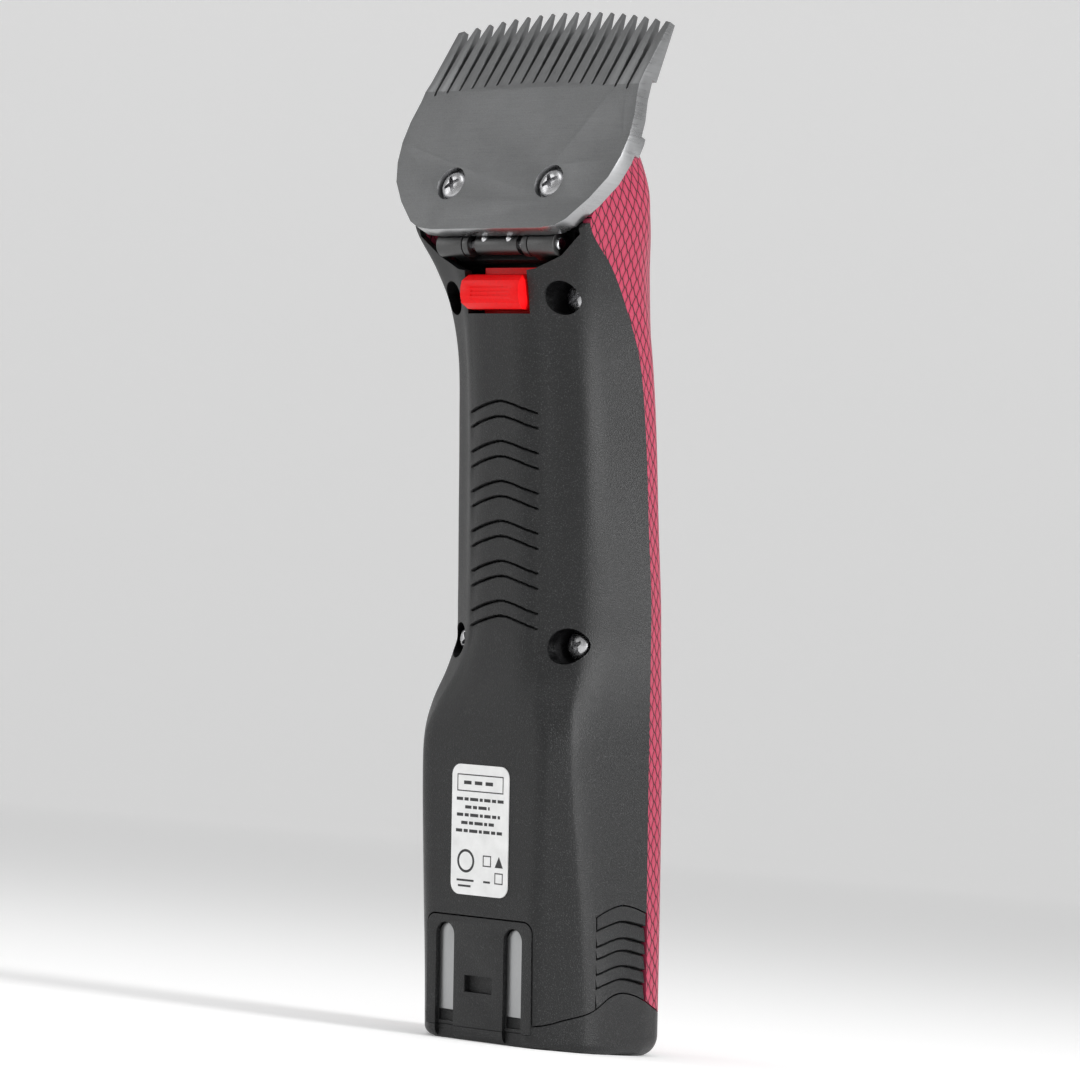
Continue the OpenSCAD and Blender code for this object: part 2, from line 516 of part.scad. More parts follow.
module lever_pin() color("#d0d2d4") rod_y(lever_pin_r, 0, -8.6, 8.0, lever_pivot_z);
// Felt ring that keeps hair and oil out of the drive
module grease_seal() color("#55524c") on_blade() difference() {
  face_prism(moved(rounded(15.6, 14.6, 3), 0, 17.2), 10.8, 12.2);
  span([-5.2, 5, 11.6], [5.2, 14, 22.8]);
}

// ---------------------------------------------------------------- electronics
module circuit_board() color("#1e6b3c") span([-11, 9.0, 119], [11, 10.4, 143]);
module power_switch() color("#222222") union() {
  span([-3, 10.4, power_z - 3], [3, 11.3, power_z + 3]);
  rod_y(1.5, 0, 11.2, 11.6, power_z);
}
module status_leds() color("#dff2e2") for (x = [-1.5, 1.5])
  span([x - 0.8, 10.4, led_z - 0.6], [x + 0.8, 11.2, led_z + 0.6]);
module light_pipe() color("#e8f3ea") rod_y(1.25, 0, 11.5, 17.1, led_z);
module power_button() color("#1d1e1f") union() {
  rod_y(power_r, 0, 14.6, 17.1, power_z);
  rod_y(power_r + 0.5, 0, 13.0, 13.6, power_z);
  rod_y(1.8, 0, 12.6, 15, power_z);
}
module button_seal() color("#3a3b3c") difference() {
  rod_y(7.4, 0, 11.7, 12.1, power_z);
  rod_y(2.3, 0, 11, 13, power_z);
}
// A wire through points: one tube with eight sides, its rings square to the way it runs
function unit(v) = v / norm(v);
function way(p, i) = unit(p[min(i + 1, len(p) - 1)] - p[max(i - 1, 0)]);
module wire(points, r = 0.6) loft([for (i = [0:len(points) - 1])
  let (w = way(points, i), u = unit(cross(w, [0, 1, 0.2])), v = cross(w, u))
    [for (k = [0:7]) points[i] + r * (u * cos(45 * k) + v * sin(45 * k))]]);
module bay_contacts() color("#d0a850") both_sides() {
  span([3.6, -5, 74.6], [6.4, -4.5, 80]);
  span([3.6, -5, 74], [6.4, -1, 74.6]);
}
module battery_leads() color("#b32222") both_sides() wire(
  [[5, -4.75, 80.9], [7.6, -5.4, 81.8], [10.6, -6.5, 83.2], [12, -6.8, 86], [12, -6.8, 106],
   [12.5, -5.5, 114], [13.2, -1, 121], [12.6, 4, 125.5], [9.5, 8.2, 128]]);
module motor_leads() color("#22242a") both_sides() wire(
  [[7.4, drive_y + 1, 81.3], [11.4, 4, 82.2], [14.2, 5, 85], [15.2, 5.5, 90], [14.6, 6, 112],
   [10.4, 8.2, 121]]);

// ---------------------------------------------------------------- battery pack
// Two cells side by side, in outline
module pair_outline(r, z0, z1) {
  both_sides() translate([cell_x, pack_y, z0]) cylinder(r = r, h = z1 - z0);
  span([-cell_x, pack_y - r, z0], [cell_x, pack_y + r, z1]);
}
module charge_slots(deep) both_sides() {
  span([slot_x - slot_w / 2, -30, -10], [slot_x + slot_w / 2, -18.7 + deep, slot_top - slot_w / 2]);
  rod_y(slot_w / 2, slot_x, -30, -18.7 + deep, slot_top - slot_w / 2);
}
module battery_cap() color("#262828") difference() {
  intersection() {
    loft([for (z = [-5, 1, 7, 13.6]) full_ring(z, 0)]);
    below_parting(0);
  }
  under_foot();
  difference() {
    translate([0, 0, 2.6]) intersection() {
      loft([for (z = [0, 20]) at_height([for (p = full_ring(8, 2.2)) [p[0], p[1]]], z)]);
      span([-40, -15.6, 0], [40, 40, 30]);
    }
    span([-40, -40, 2], [40, -16.6, 30]);
  }
  span([-door_x - 0.02, -40, 4.6], [door_x + 0.02, -14, 40]);
  charge_slots(slot_deep);
}
module battery_case() color("#303232") difference() {
  union() {
    pair_outline(case_r, 2.7, case_top);
    span([-door_x, -18.7, 4.7], [door_x, -9.5, door_top]);
  }
  pair_outline(cell_r + 0.05, cell_z - 0.1, cell_z + cell_l + 0.1);
  charge_slots(slot_deep);
  span([-3.7, -20, 11.6], [3.7, -17.2, 14.9]);
  both_sides() span([slot_x - strip_r - 0.05, -17.9, 5.4], [slot_x + strip_r + 0.05, -17.15, slot_top]);
  both_sides() span([16.9, -5.5, 9.8], [30, 3.5, 32]);
}
module battery_cells() color("#3c6fa8") both_sides()
  translate([cell_x, pack_y, cell_z]) cylinder(r = cell_r, h = cell_l - 0.4);
module cell_straps() color("#c9cbcd") span([-12, pack_y - 3.5, cell_z - 0.1], [12, pack_y + 3.5, cell_z]);
module pack_board() color("#1e6b3c") span(
  [-14.4, pack_y - 7.6, cell_z + cell_l - 0.25], [14.4, pack_y + 7.6, cell_z + cell_l + 0.05]);
module charge_contacts() color("#b4b6b8") both_sides() {
  span([slot_x - strip_r, -17.85, 7.6], [slot_x + strip_r, -17.2, slot_top - slot_w / 2]);
  rod_y(strip_r, slot_x, -17.85, -17.2, slot_top - slot_w / 2);
}
module pack_terminals() color("#d0a850") both_sides()
  span([3.2, -5, case_top], [6.8, -1, case_top + 0.9]);
// Spring-loaded side grips that lock the pack into the housing
module latch() color("#262828") difference() {
  union() {
    intersection() {
      loft([for (z = [9, 14, 20, 25, 30]) at_height([for (p = full_ring(z, 0)) [p[0], p[1]]], z)]);
      span([20.2, latch_y0, 9], [30, latch_y1, latch_top]);
    }
    span([19.6, -4.6, 13.4], [20.4, 2.6, 27.4]);
    rod_y(1.3, 20.2, -5.2, 3.2, 13.4);
  }
  below_parting(gap);
  for (z = [16.6, 19.4, 22.2, 25]) side_prism([[-12, z - 1.4], [-2.2, z + 1.2], [6, z - 0.8], [6, z - 0.4],
    [-2.2, z + 1.6], [-12, z - 1]], 22.3, 30);
}
module latch_right() latch();
module latch_left() mirror([1, 0, 0]) latch();
// Bowed leaf springs that push the grips outwards
module latch_springs() color("#c0c2c4") both_sides() face_prism(
  [[18.62, 16.6], [18.85, 16.6], [19.5, 21.6], [19.5, 22.4], [18.85, 27.4], [18.62, 27.4],
   [19.25, 22]], -2.4, 1.2);

stand() back_shell();
stand() front_shell();
stand() head_frame();
stand() housing_screws();
stand() rating_plate();
stand() comb_blade();
stand() blade_screws();
stand() blade_socket();
stand() tension_spring();
stand() cutter_blade();
stand() cutter_guide();
stand() hinge_tongue();
stand() tongue_rivets();
stand() hinge_pin();
stand() hinge_bracket();
stand() release_button();
stand() release_spring();
stand() motor_can();
stand() motor_end_cap();
stand() motor_terminals();
stand() motor_magnets();
stand() motor_mount();
stand() front_bearing();
stand() motor_shaft();
stand() motor_armature();
stand() commutator();
stand() eccentric();
stand() eccentric_bearing();
stand() drive_lever();
stand() lever_bush();
stand() lever_pin();
stand() grease_seal();
stand() circuit_board();
stand() power_switch();
stand() status_leds();
stand() light_pipe();
stand() power_button();
stand() button_seal();
stand() bay_contacts();
stand() battery_leads();
stand() motor_leads();
stand() battery_cap();
stand() battery_case();
stand() battery_cells();
stand() cell_straps();
stand() pack_board();
stand() charge_contacts();
stand() pack_terminals();
stand() latch_left();
stand() latch_right();
stand() latch_springs();
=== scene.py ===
"""The looks of the cordless animal clipper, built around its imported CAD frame."""

import json
import math

import bmesh
import bpy
from mathutils import Matrix, Vector


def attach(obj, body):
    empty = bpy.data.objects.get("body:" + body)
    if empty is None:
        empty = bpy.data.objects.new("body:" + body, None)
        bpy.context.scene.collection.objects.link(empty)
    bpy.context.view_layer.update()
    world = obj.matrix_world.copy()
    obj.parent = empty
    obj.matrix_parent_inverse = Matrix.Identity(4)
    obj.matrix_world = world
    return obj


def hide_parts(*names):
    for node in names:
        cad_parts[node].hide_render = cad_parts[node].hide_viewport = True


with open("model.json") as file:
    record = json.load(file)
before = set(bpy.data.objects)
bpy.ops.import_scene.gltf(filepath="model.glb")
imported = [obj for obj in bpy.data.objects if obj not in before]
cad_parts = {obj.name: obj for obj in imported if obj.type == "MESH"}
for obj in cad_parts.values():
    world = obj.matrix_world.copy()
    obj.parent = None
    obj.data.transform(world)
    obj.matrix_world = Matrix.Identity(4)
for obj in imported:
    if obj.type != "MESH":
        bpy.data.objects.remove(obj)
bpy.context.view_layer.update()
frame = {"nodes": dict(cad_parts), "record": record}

# ---------------------------------------------------------------- the handle's own frame
# Shapes are drawn in millimetres in the handle's frame, as in the CAD, and leaned with it.
MM = 0.001
LEAN = math.radians(6.3)
FOOT_SHIFT = 9.57
BLADE_TILT = math.radians(24)
BLADE_ORIGIN = (0, -20.6, 160.6)
STAND = Matrix.Translation((0, FOOT_SHIFT, 0)) @ Matrix.Rotation(LEAN, 4, "X")
ON_BLADE = STAND @ Matrix.Translation(BLADE_ORIGIN) @ Matrix.Rotation(-BLADE_TILT, 4, "X")
WALL = 2.0
GAP = 0.3
DOOR_X, DOOR_TOP, DOOR_R = 13.9, 26.3, 2.0
LATCH_Y0, LATCH_Y1, LATCH_TOP, CROWN = -8.8, 4.4, 29.4, 2.0
LATCH_PEAK = (LATCH_Y0 + LATCH_Y1) / 2
SCREW_X, LOW_SCREW_Z, HIGH_SCREW_Z, RECESS_R = 14.5, 79.8, 147.3, 3.3
# Beyond this x a recess's lining would come out of the handle's side
SIDE_LIMIT = 18.1
LOW_HEAD_Y, HIGH_HEAD_Y = -6.2, -8.0
POWER_Z, POWER_R = 131, 5.2
LED_Z, LED_R = 120.5, 1.3
RIB_COUNT, RIB_PITCH, RIB_TOP, RIB_SECOND = 6, 7.8, 127.4, 2.95
CREASE_WIDE, CREASE_DEEP = 0.42, 0.7
SLOT_X, SLOT_W = 9.1, 4.9
CELL_PAIR_X, CELL_PAIR_Y, CASE_R, CASE_TOP = 9.3, -0.7, 10.3, 72.5
# On the comb, in the blade's frame: where the teeth start, its half width and its screws
ROOT_LINE, COMB_SIDE, BLADE_SCREW_X, BLADE_SCREW_Z = 30.2, 28.2, 13.1, 10
# Opening at the top of the back shell, for the hinge and the release button
HINGE_OPENING = [(-8.3, 144.2), (8.3, 144.2), (8.3, 152.6), (10.3, 152.9), (16.2, 155.4), (21.3, 159.4),
                 (21.3, 170), (-21.3, 170), (-21.3, 159.4), (-16.2, 155.4), (-10.3, 152.9), (-8.3, 152.6)]

# Rows of the handle's section: height, back face, then x and y of the ridge, valley, bulge,
# seam, crease and brow points, and last the front face
ROWS = [
    [-6, -18.7, 13.8, -18.7, 18.5, -14.3, 22.5, -9.9, 22.8, 4.7, 21.6, 10.4, 14.0, 16.8, 18.8],
    [12, -18.7, 14.2, -18.7, 18.6, -14.5, 22.6, -10.2, 22.9, 4.7, 21.7, 10.4, 14.0, 17.0, 19.0],
    [30, -18.7, 14.9, -18.7, 18.5, -15.2, 22.1, -11.7, 22.9, 4.7, 21.7, 10.4, 14.0, 17.1, 19.1],
    [54, -18.7, 15.8, -18.7, 18.3, -16.3, 20.8, -13.8, 22.8, 4.7, 21.6, 10.4, 14.0, 17.0, 19.0],
    [62, -18.5, 15.5, -18.4, 18.0, -16.2, 20.5, -13.6, 22.8, 4.7, 21.5, 10.3, 14.0, 16.8, 18.8],
    [68, -17.5, 13.2, -17.1, 16.2, -15.2, 19.6, -12.7, 22.8, 4.7, 21.4, 10.2, 14.0, 16.6, 18.5],
    [74, -15.6, 10.9, -14.7, 13.9, -13.0, 18.7, -10.2, 22.8, 4.7, 21.3, 10.0, 14.0, 16.4, 18.2],
    [80, -14.5, 9.9, -13.2, 12.8, -11.4, 18.1, -8.3, 22.8, 4.7, 21.2, 9.9, 14.0, 16.2, 18.0],
    [88, -14.2, 9.8, -12.9, 12.6, -11.1, 18.1, -8.1, 22.7, 4.7, 21.0, 9.9, 13.8, 16.0, 17.9],
    [104, -14.6, 9.6, -13.3, 12.4, -11.2, 18.2, -8.3, 21.6, 4.7, 19.9, 9.9, 13.5, 15.6, 17.6],
    [122, -15.3, 9.4, -13.9, 12.3, -11.5, 18.1, -8.7, 20.5, 4.6, 18.9, 9.9, 13.0, 14.9, 17.0],
    [136, -16.0, 9.2, -14.9, 12.1, -12.5, 17.7, -9.6, 20.3, 2.6, 18.8, 8.4, 13.4, 13.6, 16.0],
    [146, -16.8, 9.4, -16.0, 12.6, -13.9, 18.5, -11.4, 20.7, -2.1, 20.0, 4.8, 15.0, 11.8, 15.0],
    [153, -17.6, 10.5, -17.0, 14.2, -15.5, 20.2, -13.6, 21.9, -7.4, 21.0, 2.8, 16.0, 10.6, 14.0],
    [161.5, -18.6, 14.0, -18.2, 18.2, -17.5, 22.6, -16.7, 23.4, -15.6, 22.2, 2.4, 17.2, 9.0, 12.4],
    [168, -18.6, 14.0, -18.2, 18.2, -17.5, 22.6, -16.7, 23.0, -10.1, 21.6, 3.6, 17.0, 7.6, 10.6],
    [174, -18.6, 14.0, -18.2, 18.2, -17.5, 22.6, -16.7, 22.0, -5.2, 19.8, 3.4, 15.6, 6.4, 8.6],
    [179, -18.6, 14.0, -18.2, 18.2, -17.5, 22.6, -16.7, 20.2, -3.2, 17.4, 2.8, 13.5, 5.0, 6.6],
    [185, -18.6, 14.0, -18.2, 18.2, -17.5, 22.6, -16.7, 16.8, -1.4, 14.4, 1.8, 11.0, 3.0, 4.0],
    [188, -18.6, 14.0, -18.2, 18.2, -17.5, 22.6, -16.7, 14.5, -0.6, 12.4, 0.8, 9.5, 1.6, 2.2],
]
BACK_TOP, NOSE_TOP = 161.5, 187
# Share of each side of a section's corner that its rounding takes
ROUNDING = 0.36
# Parting line of the foot cap on the side, as (y, z) from back to front
PARTING = [(-30, 6.2), (-18.7, 6.2), (-14, 7.6), (-9.5, 9.3), (-5.5, 11.6), (-2.2, 12.3),
           (1.2, 11.7), (4.7, 10.3), (9, 8.2), (14, 6.4), (19, 5.2), (30, 5.2)]


def slope(i):
    """Change of row i with height, from the rows around it."""
    a, b = max(i - 1, 0), min(i + 1, len(ROWS) - 1)
    return [(q - p) / (ROWS[b][0] - ROWS[a][0]) for p, q in zip(ROWS[a], ROWS[b])]


SLOPES = [slope(i) for i in range(len(ROWS))]


def row_at(z):
    """The section's row at height z, by cubic interpolation."""
    i = 0
    while i < len(ROWS) - 2 and z >= ROWS[i + 1][0]:
        i += 1
    h = ROWS[i + 1][0] - ROWS[i][0]
    t = (z - ROWS[i][0]) / h
    return [p * (1 + t * t * (2 * t - 3)) + q * t * t * (3 - 2 * t)
            + m * h * t * (1 - t) ** 2 - n * h * t * t * (1 - t)
            for p, q, m, n in zip(ROWS[i], ROWS[i + 1], SLOPES[i], SLOPES[i + 1])]


def back_control(r, t):
    """Control line of the back half at a depth t inside the surface, from middle to seam."""
    return [(0, r[1] + t), (r[2] * 0.6, r[1] + t), (r[2] - 0.5 * t, r[3] + t),
            (r[4] - 0.8 * t, r[5] + 0.8 * t), (r[6] - t, r[7] + 0.5 * t), (r[8] - t, r[9])]


def front_control(r, t):
    """Control line of the front half at a depth t inside the surface, from seam to middle."""
    return [(r[8] - t, r[9]), (r[10] - t, r[11] - 0.3 * t), (r[12] - 0.7 * t, r[13] - 0.8 * t),
            (r[12] * 0.4, r[14] - t), (0, r[14] - t)]


def spline(control, n, fill=(1, 1)):
    """A control line with its corners rounded over ROUNDING of their two sides, ends kept. The
    straight stretches into the first corners are divided into as many parts as fill says."""
    c = [Vector(p) for p in control]
    out = [c[0]]
    for i in range(1, len(c) - 1):
        a = c[i] + (c[i - 1] - c[i]) * ROUNDING
        b = c[i] + (c[i + 1] - c[i]) * ROUNDING
        parts = fill[i - 1] if i <= len(fill) else 1
        start = out[-1]
        out += [start + (a - start) * k / parts for k in range(1, parts)]
        for k in range(n + 1):
            t = k / n
            out.append((1 - t) ** 2 * a + 2 * t * (1 - t) * c[i] + t * t * b)
    return out + [c[-1]]


def smooth_step(a, b, x):
    t = min(1, max(0, (x - a) / (b - a)))
    return t * t * (3 - 2 * t)


def frange(a, b, step):
    """Even steps of about step from a up to b, both ends kept."""
    n = max(1, round((b - a) / step))
    return [a + (b - a) * i / n for i in range(n + 1)]


# ---------------------------------------------------------------- materials
def material(name, colour, roughness=0.5, metallic=0.0, coat=0.0, specular=0.5):
    """A Principled material with its uniform values on the shader's own sockets."""
    m = bpy.data.materials.new(name)
    m.use_nodes = True
    shader = m.node_tree.nodes["Principled BSDF"]
    shader.inputs["Base Color"].default_value = (*colour, 1)
    shader.inputs["Roughness"].default_value = roughness
    shader.inputs["Metallic"].default_value = metallic
    shader.inputs["Coat Weight"].default_value = coat
    shader.inputs["Specular IOR Level"].default_value = specular
    return m


class Graph:
    """Short names for adding and joining a material's nodes."""

    def __init__(self, m):
        self.tree = m.node_tree
        self.shader = self.tree.nodes["Principled BSDF"]

    def node(self, kind, **inputs):
        n = self.tree.nodes.new("ShaderNode" + kind)
        for key, value in inputs.items():
            socket = n.inputs[key.replace("_", " ")]
            self.put(value, socket)
        return n

    def put(self, value, socket):
        if isinstance(value, bpy.types.NodeSocket):
            self.tree.links.new(value, socket)
        else:
            socket.default_value = value

    def math(self, operation, a, b=0.0, c=0.0):
        n = self.tree.nodes.new("ShaderNodeMath")
        n.operation = operation
        for value, socket in zip((a, b, c), n.inputs):
            self.put(value, socket)
        return n.outputs[0]

    def where(self):
        return self.node("TexCoord").outputs["Object"]

    def noise(self, scale, detail=3.0, roughness=0.6, vector=None):
        n = self.node("TexNoise", Scale=scale, Detail=detail, Roughness=roughness)
        self.put(vector or self.where(), n.inputs["Vector"])
        return n.outputs["Fac"]

    def ramp(self, value, low, high, a, b):
        """Maps value from low..high to a..b, clamped."""
        n = self.node("MapRange", Value=value)
        for key, v in (("From Min", low), ("From Max", high), ("To Min", a), ("To Max", b)):
            n.inputs[key].default_value = v
        return n.outputs["Result"]

    def mix(self, factor, a, b):
        n = self.tree.nodes.new("ShaderNodeMix")
        n.data_type = "RGBA"
        self.put(factor, n.inputs["Factor"])
        self.put(a if isinstance(a, bpy.types.NodeSocket) else (*a, 1), n.inputs["A"])
        self.put(b if isinstance(b, bpy.types.NodeSocket) else (*b, 1), n.inputs["B"])
        return n.outputs["Result"]

    def bump(self, height, distance, strength=1.0):
        n = self.node("Bump", Height=height, Distance=distance, Strength=strength)
        self.put(n.outputs["Normal"], self.shader.inputs["Normal"])

    def colour(self, value):
        self.put(value, self.shader.inputs["Base Color"])

    def roughness(self, value):
        self.put(value, self.shader.inputs["Roughness"])


def grained_plastic(name, base, speck, roughness=0.42, specular=0.34):
    """Moulded plastic with a spark-eroded grain and paler specks."""
    m = material(name, base, roughness, specular=specular)
    g = Graph(m)
    grain = g.noise(4300, 2.0, 0.5)
    cloud = g.noise(60, 4.0, 0.6)
    g.colour(g.mix(g.ramp(grain, 0.55, 0.75, 0.0, 1.0), base, speck))
    g.roughness(g.ramp(g.math("ADD", g.math("MULTIPLY", grain, 0.6), g.math("MULTIPLY", cloud, 0.4)),
                       0.3, 0.7, roughness - 0.09, roughness + 0.1))
    g.bump(grain, 0.00012, 0.9)
    return m


def scale_skin(name):
    """Red lacquer covered in slender overlapping scales with dark outlines, laid out in the
    surface's own millimetres: across the shell and along it."""
    m = material(name, (0.4, 0.03, 0.066), 0.42, coat=0.05, specular=0.35)
    g = Graph(m)
    uv = g.tree.nodes.new("ShaderNodeUVMap")
    uv.uv_map = "skin"
    split = g.node("SeparateXYZ", Vector=uv.outputs["UV"])
    across = g.math("MULTIPLY", split.outputs["X"], 1 / SCALE_WIDE)
    along = g.math("MULTIPLY", split.outputs["Y"], 1 / SCALE_TALL)
    # Two lattices of ovals, the second moved by half a cell both ways, which meet in a net
    lattices = []
    for shift in (0.0, 0.5):
        u = g.math("SUBTRACT", g.math("FRACT", g.math("ADD", across, shift)), 0.5)
        v = g.math("SUBTRACT", g.math("FRACT", g.math("ADD", along, shift)), 0.5)
        v = g.math("ADD", v, g.math("MULTIPLY", u, 0.35))
        lattices.append(g.math("SQRT", g.math("ADD", g.math("MULTIPLY", g.math("MULTIPLY", u, u), 1.15),
                                              g.math("MULTIPLY", g.math("MULTIPLY", v, v), 0.9))))
    nearest = g.math("MINIMUM", *lattices)
    gap = g.math("SUBTRACT", g.math("MAXIMUM", *lattices), nearest)
    line = g.ramp(gap, 0.045, 0.11, 1.0, 0.0)
    dome = g.ramp(nearest, 0.0, 0.37, 1.0, 0.0)
    cloud = g.noise(140, 3.0)
    red = g.mix(cloud, (0.3, 0.022, 0.055), (0.385, 0.034, 0.077))
    red = g.mix(g.math("MULTIPLY", dome, 0.4), red, (0.5, 0.07, 0.13))
    g.colour(g.mix(line, red, (0.02, 0.006, 0.009)))
    g.roughness(g.ramp(line, 0.0, 1.0, 0.4, 0.75))
    g.bump(g.math("SUBTRACT", g.math("MULTIPLY", dome, 0.6), line), 0.00022, 0.8)
    return m


def blasted_steel(name, base, roughness=0.5):
    """Bead-blasted steel: an even satin grey with fine pits and faint draw lines across it."""
    m = material(name, base, roughness, 1.0)
    g = Graph(m)
    pits = g.noise(5200, 3.0, 0.7)
    smear = g.noise(45, 5.0, 0.65)
    scaled = g.node("Mapping", Vector=g.where())
    scaled.inputs["Scale"].default_value = (1.0, 40.0, 40.0)
    drawn = g.noise(140, 5.0, 0.7, scaled.outputs["Vector"])
    tone = g.mix(g.ramp(pits, 0.35, 0.7, 0.0, 1.0), [0.8 * v for v in base], [1.18 * v for v in base])
    tone = g.mix(g.ramp(drawn, 0.35, 0.7, 0.0, 0.5), tone, [1.25 * v for v in base])
    g.colour(g.mix(g.ramp(smear, 0.35, 0.75, 0.0, 0.3), tone, [0.75 * v for v in base]))
    g.roughness(g.ramp(smear, 0.3, 0.7, roughness - 0.05, roughness + 0.08))
    g.bump(pits, 0.00004, 0.6)
    return m


def ground_steel(name, base, roughness=0.3, along=(1, 0, 0), stretch=60):
    """Steel with fine grinding marks that run along one direction."""
    m = material(name, base, roughness, 1.0)
    g = Graph(m)
    squeeze = [1.0 if a else float(stretch) for a in along]
    scaled = g.node("Mapping", Vector=g.where())
    scaled.inputs["Scale"].default_value = squeeze
    marks = g.noise(130, 6.0, 0.72, scaled.outputs["Vector"])
    smear = g.noise(60, 4.0)
    g.colour(g.mix(marks, [0.8 * v for v in base], [min(1, 1.18 * v) for v in base]))
    g.roughness(g.ramp(g.math("ADD", g.math("MULTIPLY", marks, 0.6), g.math("MULTIPLY", smear, 0.4)),
                       0.3, 0.7, roughness - 0.08, roughness + 0.12))
    g.bump(marks, 0.00002, 0.4)
    return m


def plain_finish(name, base, roughness=0.45, metallic=0.0, scale=900, depth=0.00002, coat=0.0, specular=0.5):
    """A simple moulded, plated or painted surface with a little unevenness."""
    m = material(name, base, roughness, metallic, coat, specular)
    g = Graph(m)
    fine = g.noise(scale, 4.0)
    g.colour(g.mix(fine, [0.82 * v for v in base], [min(1, 1.16 * v) for v in base]))
    g.roughness(g.ramp(fine, 0.3, 0.7, max(0.05, roughness - 0.07), roughness + 0.08))
    g.bump(fine, depth, 0.5)
    return m


SCALE_WIDE, SCALE_TALL = 2.5, 3.4
LOOKS = {
    "black": grained_plastic("moulded black", (0.0065, 0.0068, 0.0072), (0.046, 0.047, 0.048), 0.4, 0.4),
    # A darker, duller copy of the moulded black: the plastic of the hidden inner parts, and painted shade on
    # the screw recess linings
    "inside": grained_plastic("inner black and painted recess shade", (0.005, 0.005, 0.0055), (0.02, 0.02, 0.021), 0.45, 0.2),
    "scales": scale_skin("red scales"),
    "blade": blasted_steel("blasted blade steel", (0.185, 0.188, 0.19)),
    "knuckle": blasted_steel("dark hinge steel", (0.1, 0.1, 0.1), 0.36),
    "edge": ground_steel("ground blade edge", (0.39, 0.394, 0.4), 0.27, (1, 1, 0), 14),
    "teeth": ground_steel("ground teeth", (0.23, 0.233, 0.236), 0.34, (0, 0, 1), 9),
    "ground": ground_steel("ground blade steel", (0.42, 0.425, 0.43), 0.3, (0, 0, 1)),
    "bright": ground_steel("bright plated steel", (0.66, 0.665, 0.68), 0.2, (1, 0, 0)),
    "pin": ground_steel("dark spring steel", (0.22, 0.222, 0.225), 0.38, (1, 0, 0)),
    "zinc": plain_finish("zinc plated screw", (0.5, 0.5, 0.51), 0.26, 1.0, 2500, 0.00003),
    "red key": plain_finish("red key plastic", (0.88, 0.004, 0.006), 0.34, 0.0, 1500, 0.00001, 0.0, 0.15),
    "film": plain_finish("white film", (0.86, 0.865, 0.86), 0.42, 0.0, 300, 0.00001),
    "ink": plain_finish("dark print", (0.03, 0.03, 0.032), 0.6),
    "nickel": ground_steel("worn nickel strip", (0.37, 0.374, 0.378), 0.33, (0, 0, 1)),
    "brass": ground_steel("plated brass", (0.68, 0.5, 0.22), 0.3, (0, 0, 1)),
    "bronze": plain_finish("sintered bronze", (0.42, 0.27, 0.13), 0.42, 1.0, 3000, 0.00004),
    "copper": ground_steel("copper winding", (0.62, 0.29, 0.15), 0.35, (0, 0, 1)),
    "can": ground_steel("plated motor can", (0.48, 0.49, 0.5), 0.28, (0, 0, 1)),
    "ferrite": plain_finish("ferrite", (0.06, 0.06, 0.065), 0.6, 0.3, 2500, 0.00005),
    "felt": plain_finish("oiled felt", (0.09, 0.085, 0.075), 0.9, 0.0, 2600, 0.0002),
    "board": plain_finish("solder mask", (0.012, 0.12, 0.045), 0.3, 0.0, 800, 0.00002, 0.3),
    "rubber": plain_finish("black silicone", (0.022, 0.022, 0.024), 0.62, 0.0, 2200, 0.00004),
    "red wire": plain_finish("red wire sleeve", (0.42, 0.015, 0.012), 0.45),
    "black wire": plain_finish("black wire sleeve", (0.02, 0.02, 0.022), 0.45),
    "wrap": plain_finish("blue cell wrap", (0.04, 0.15, 0.38), 0.28, 0.0, 500, 0.00001, 0.3),
    "lens": plain_finish("clear lens", (0.72, 0.85, 0.76), 0.12, 0.0, 400, 0.000005, 0.5),
}

# ---------------------------------------------------------------- mesh helpers
def new_piece(name, bm, look, body, nodes=()):
    """Makes an object from a bmesh, dresses it, and ties it to its body and CAD nodes."""
    mesh = bpy.data.meshes.new(name)
    bm.to_mesh(mesh)
    bm.free()
    piece = bpy.data.objects.new(name, mesh)
    bpy.context.scene.collection.objects.link(piece)
    mesh.materials.clear()
    mesh.materials.append(LOOKS[look])
    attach(piece, body)
    if nodes:
        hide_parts(*nodes)
    return piece


def shade(piece, angle=32):
    piece.data.shade_smooth()
    piece.data.set_sharp_from_angle(angle=math.radians(angle))


def apply_modifiers(piece):
    """Replaces the mesh by what its modifiers make of it."""
    graph = bpy.context.evaluated_depsgraph_get()
    made = bpy.data.meshes.new_from_object(piece.evaluated_get(graph), depsgraph=graph)
    piece.modifiers.clear()
    piece.data = made


def bevel(piece, width, segments=3, angle=28):
    m = piece.modifiers.new("edge", "BEVEL")
    m.width = width * MM
    m.segments = segments
    m.limit_method = "ANGLE"
    m.angle_limit = math.radians(angle)
    m.harden_normals = False
    m.use_clamp_overlap = True


def node_body(node):
    return next(b for b, nodes in frame["record"]["behaviour"]["bodies"].items() if node in nodes)


def rounded_copy(node, look, width, segments):
    """A piece that stands for a CAD node: its faces merged again and its edges rounded."""
    bm = bmesh.new()
    bm.from_mesh(frame["nodes"][node].data)
    bmesh.ops.remove_doubles(bm, verts=bm.verts, dist=1e-6)
    bmesh.ops.dissolve_limit(bm, angle_limit=math.radians(0.6), verts=bm.verts, edges=bm.edges)
    piece = new_piece(node + "_finished", bm, look, node_body(node), [node])
    bevel(piece, width, segments)
    apply_modifiers(piece)
    shade(piece)


def to_world(bm, matrix=STAND):
    bm.transform(Matrix.Scale(MM, 4) @ matrix)


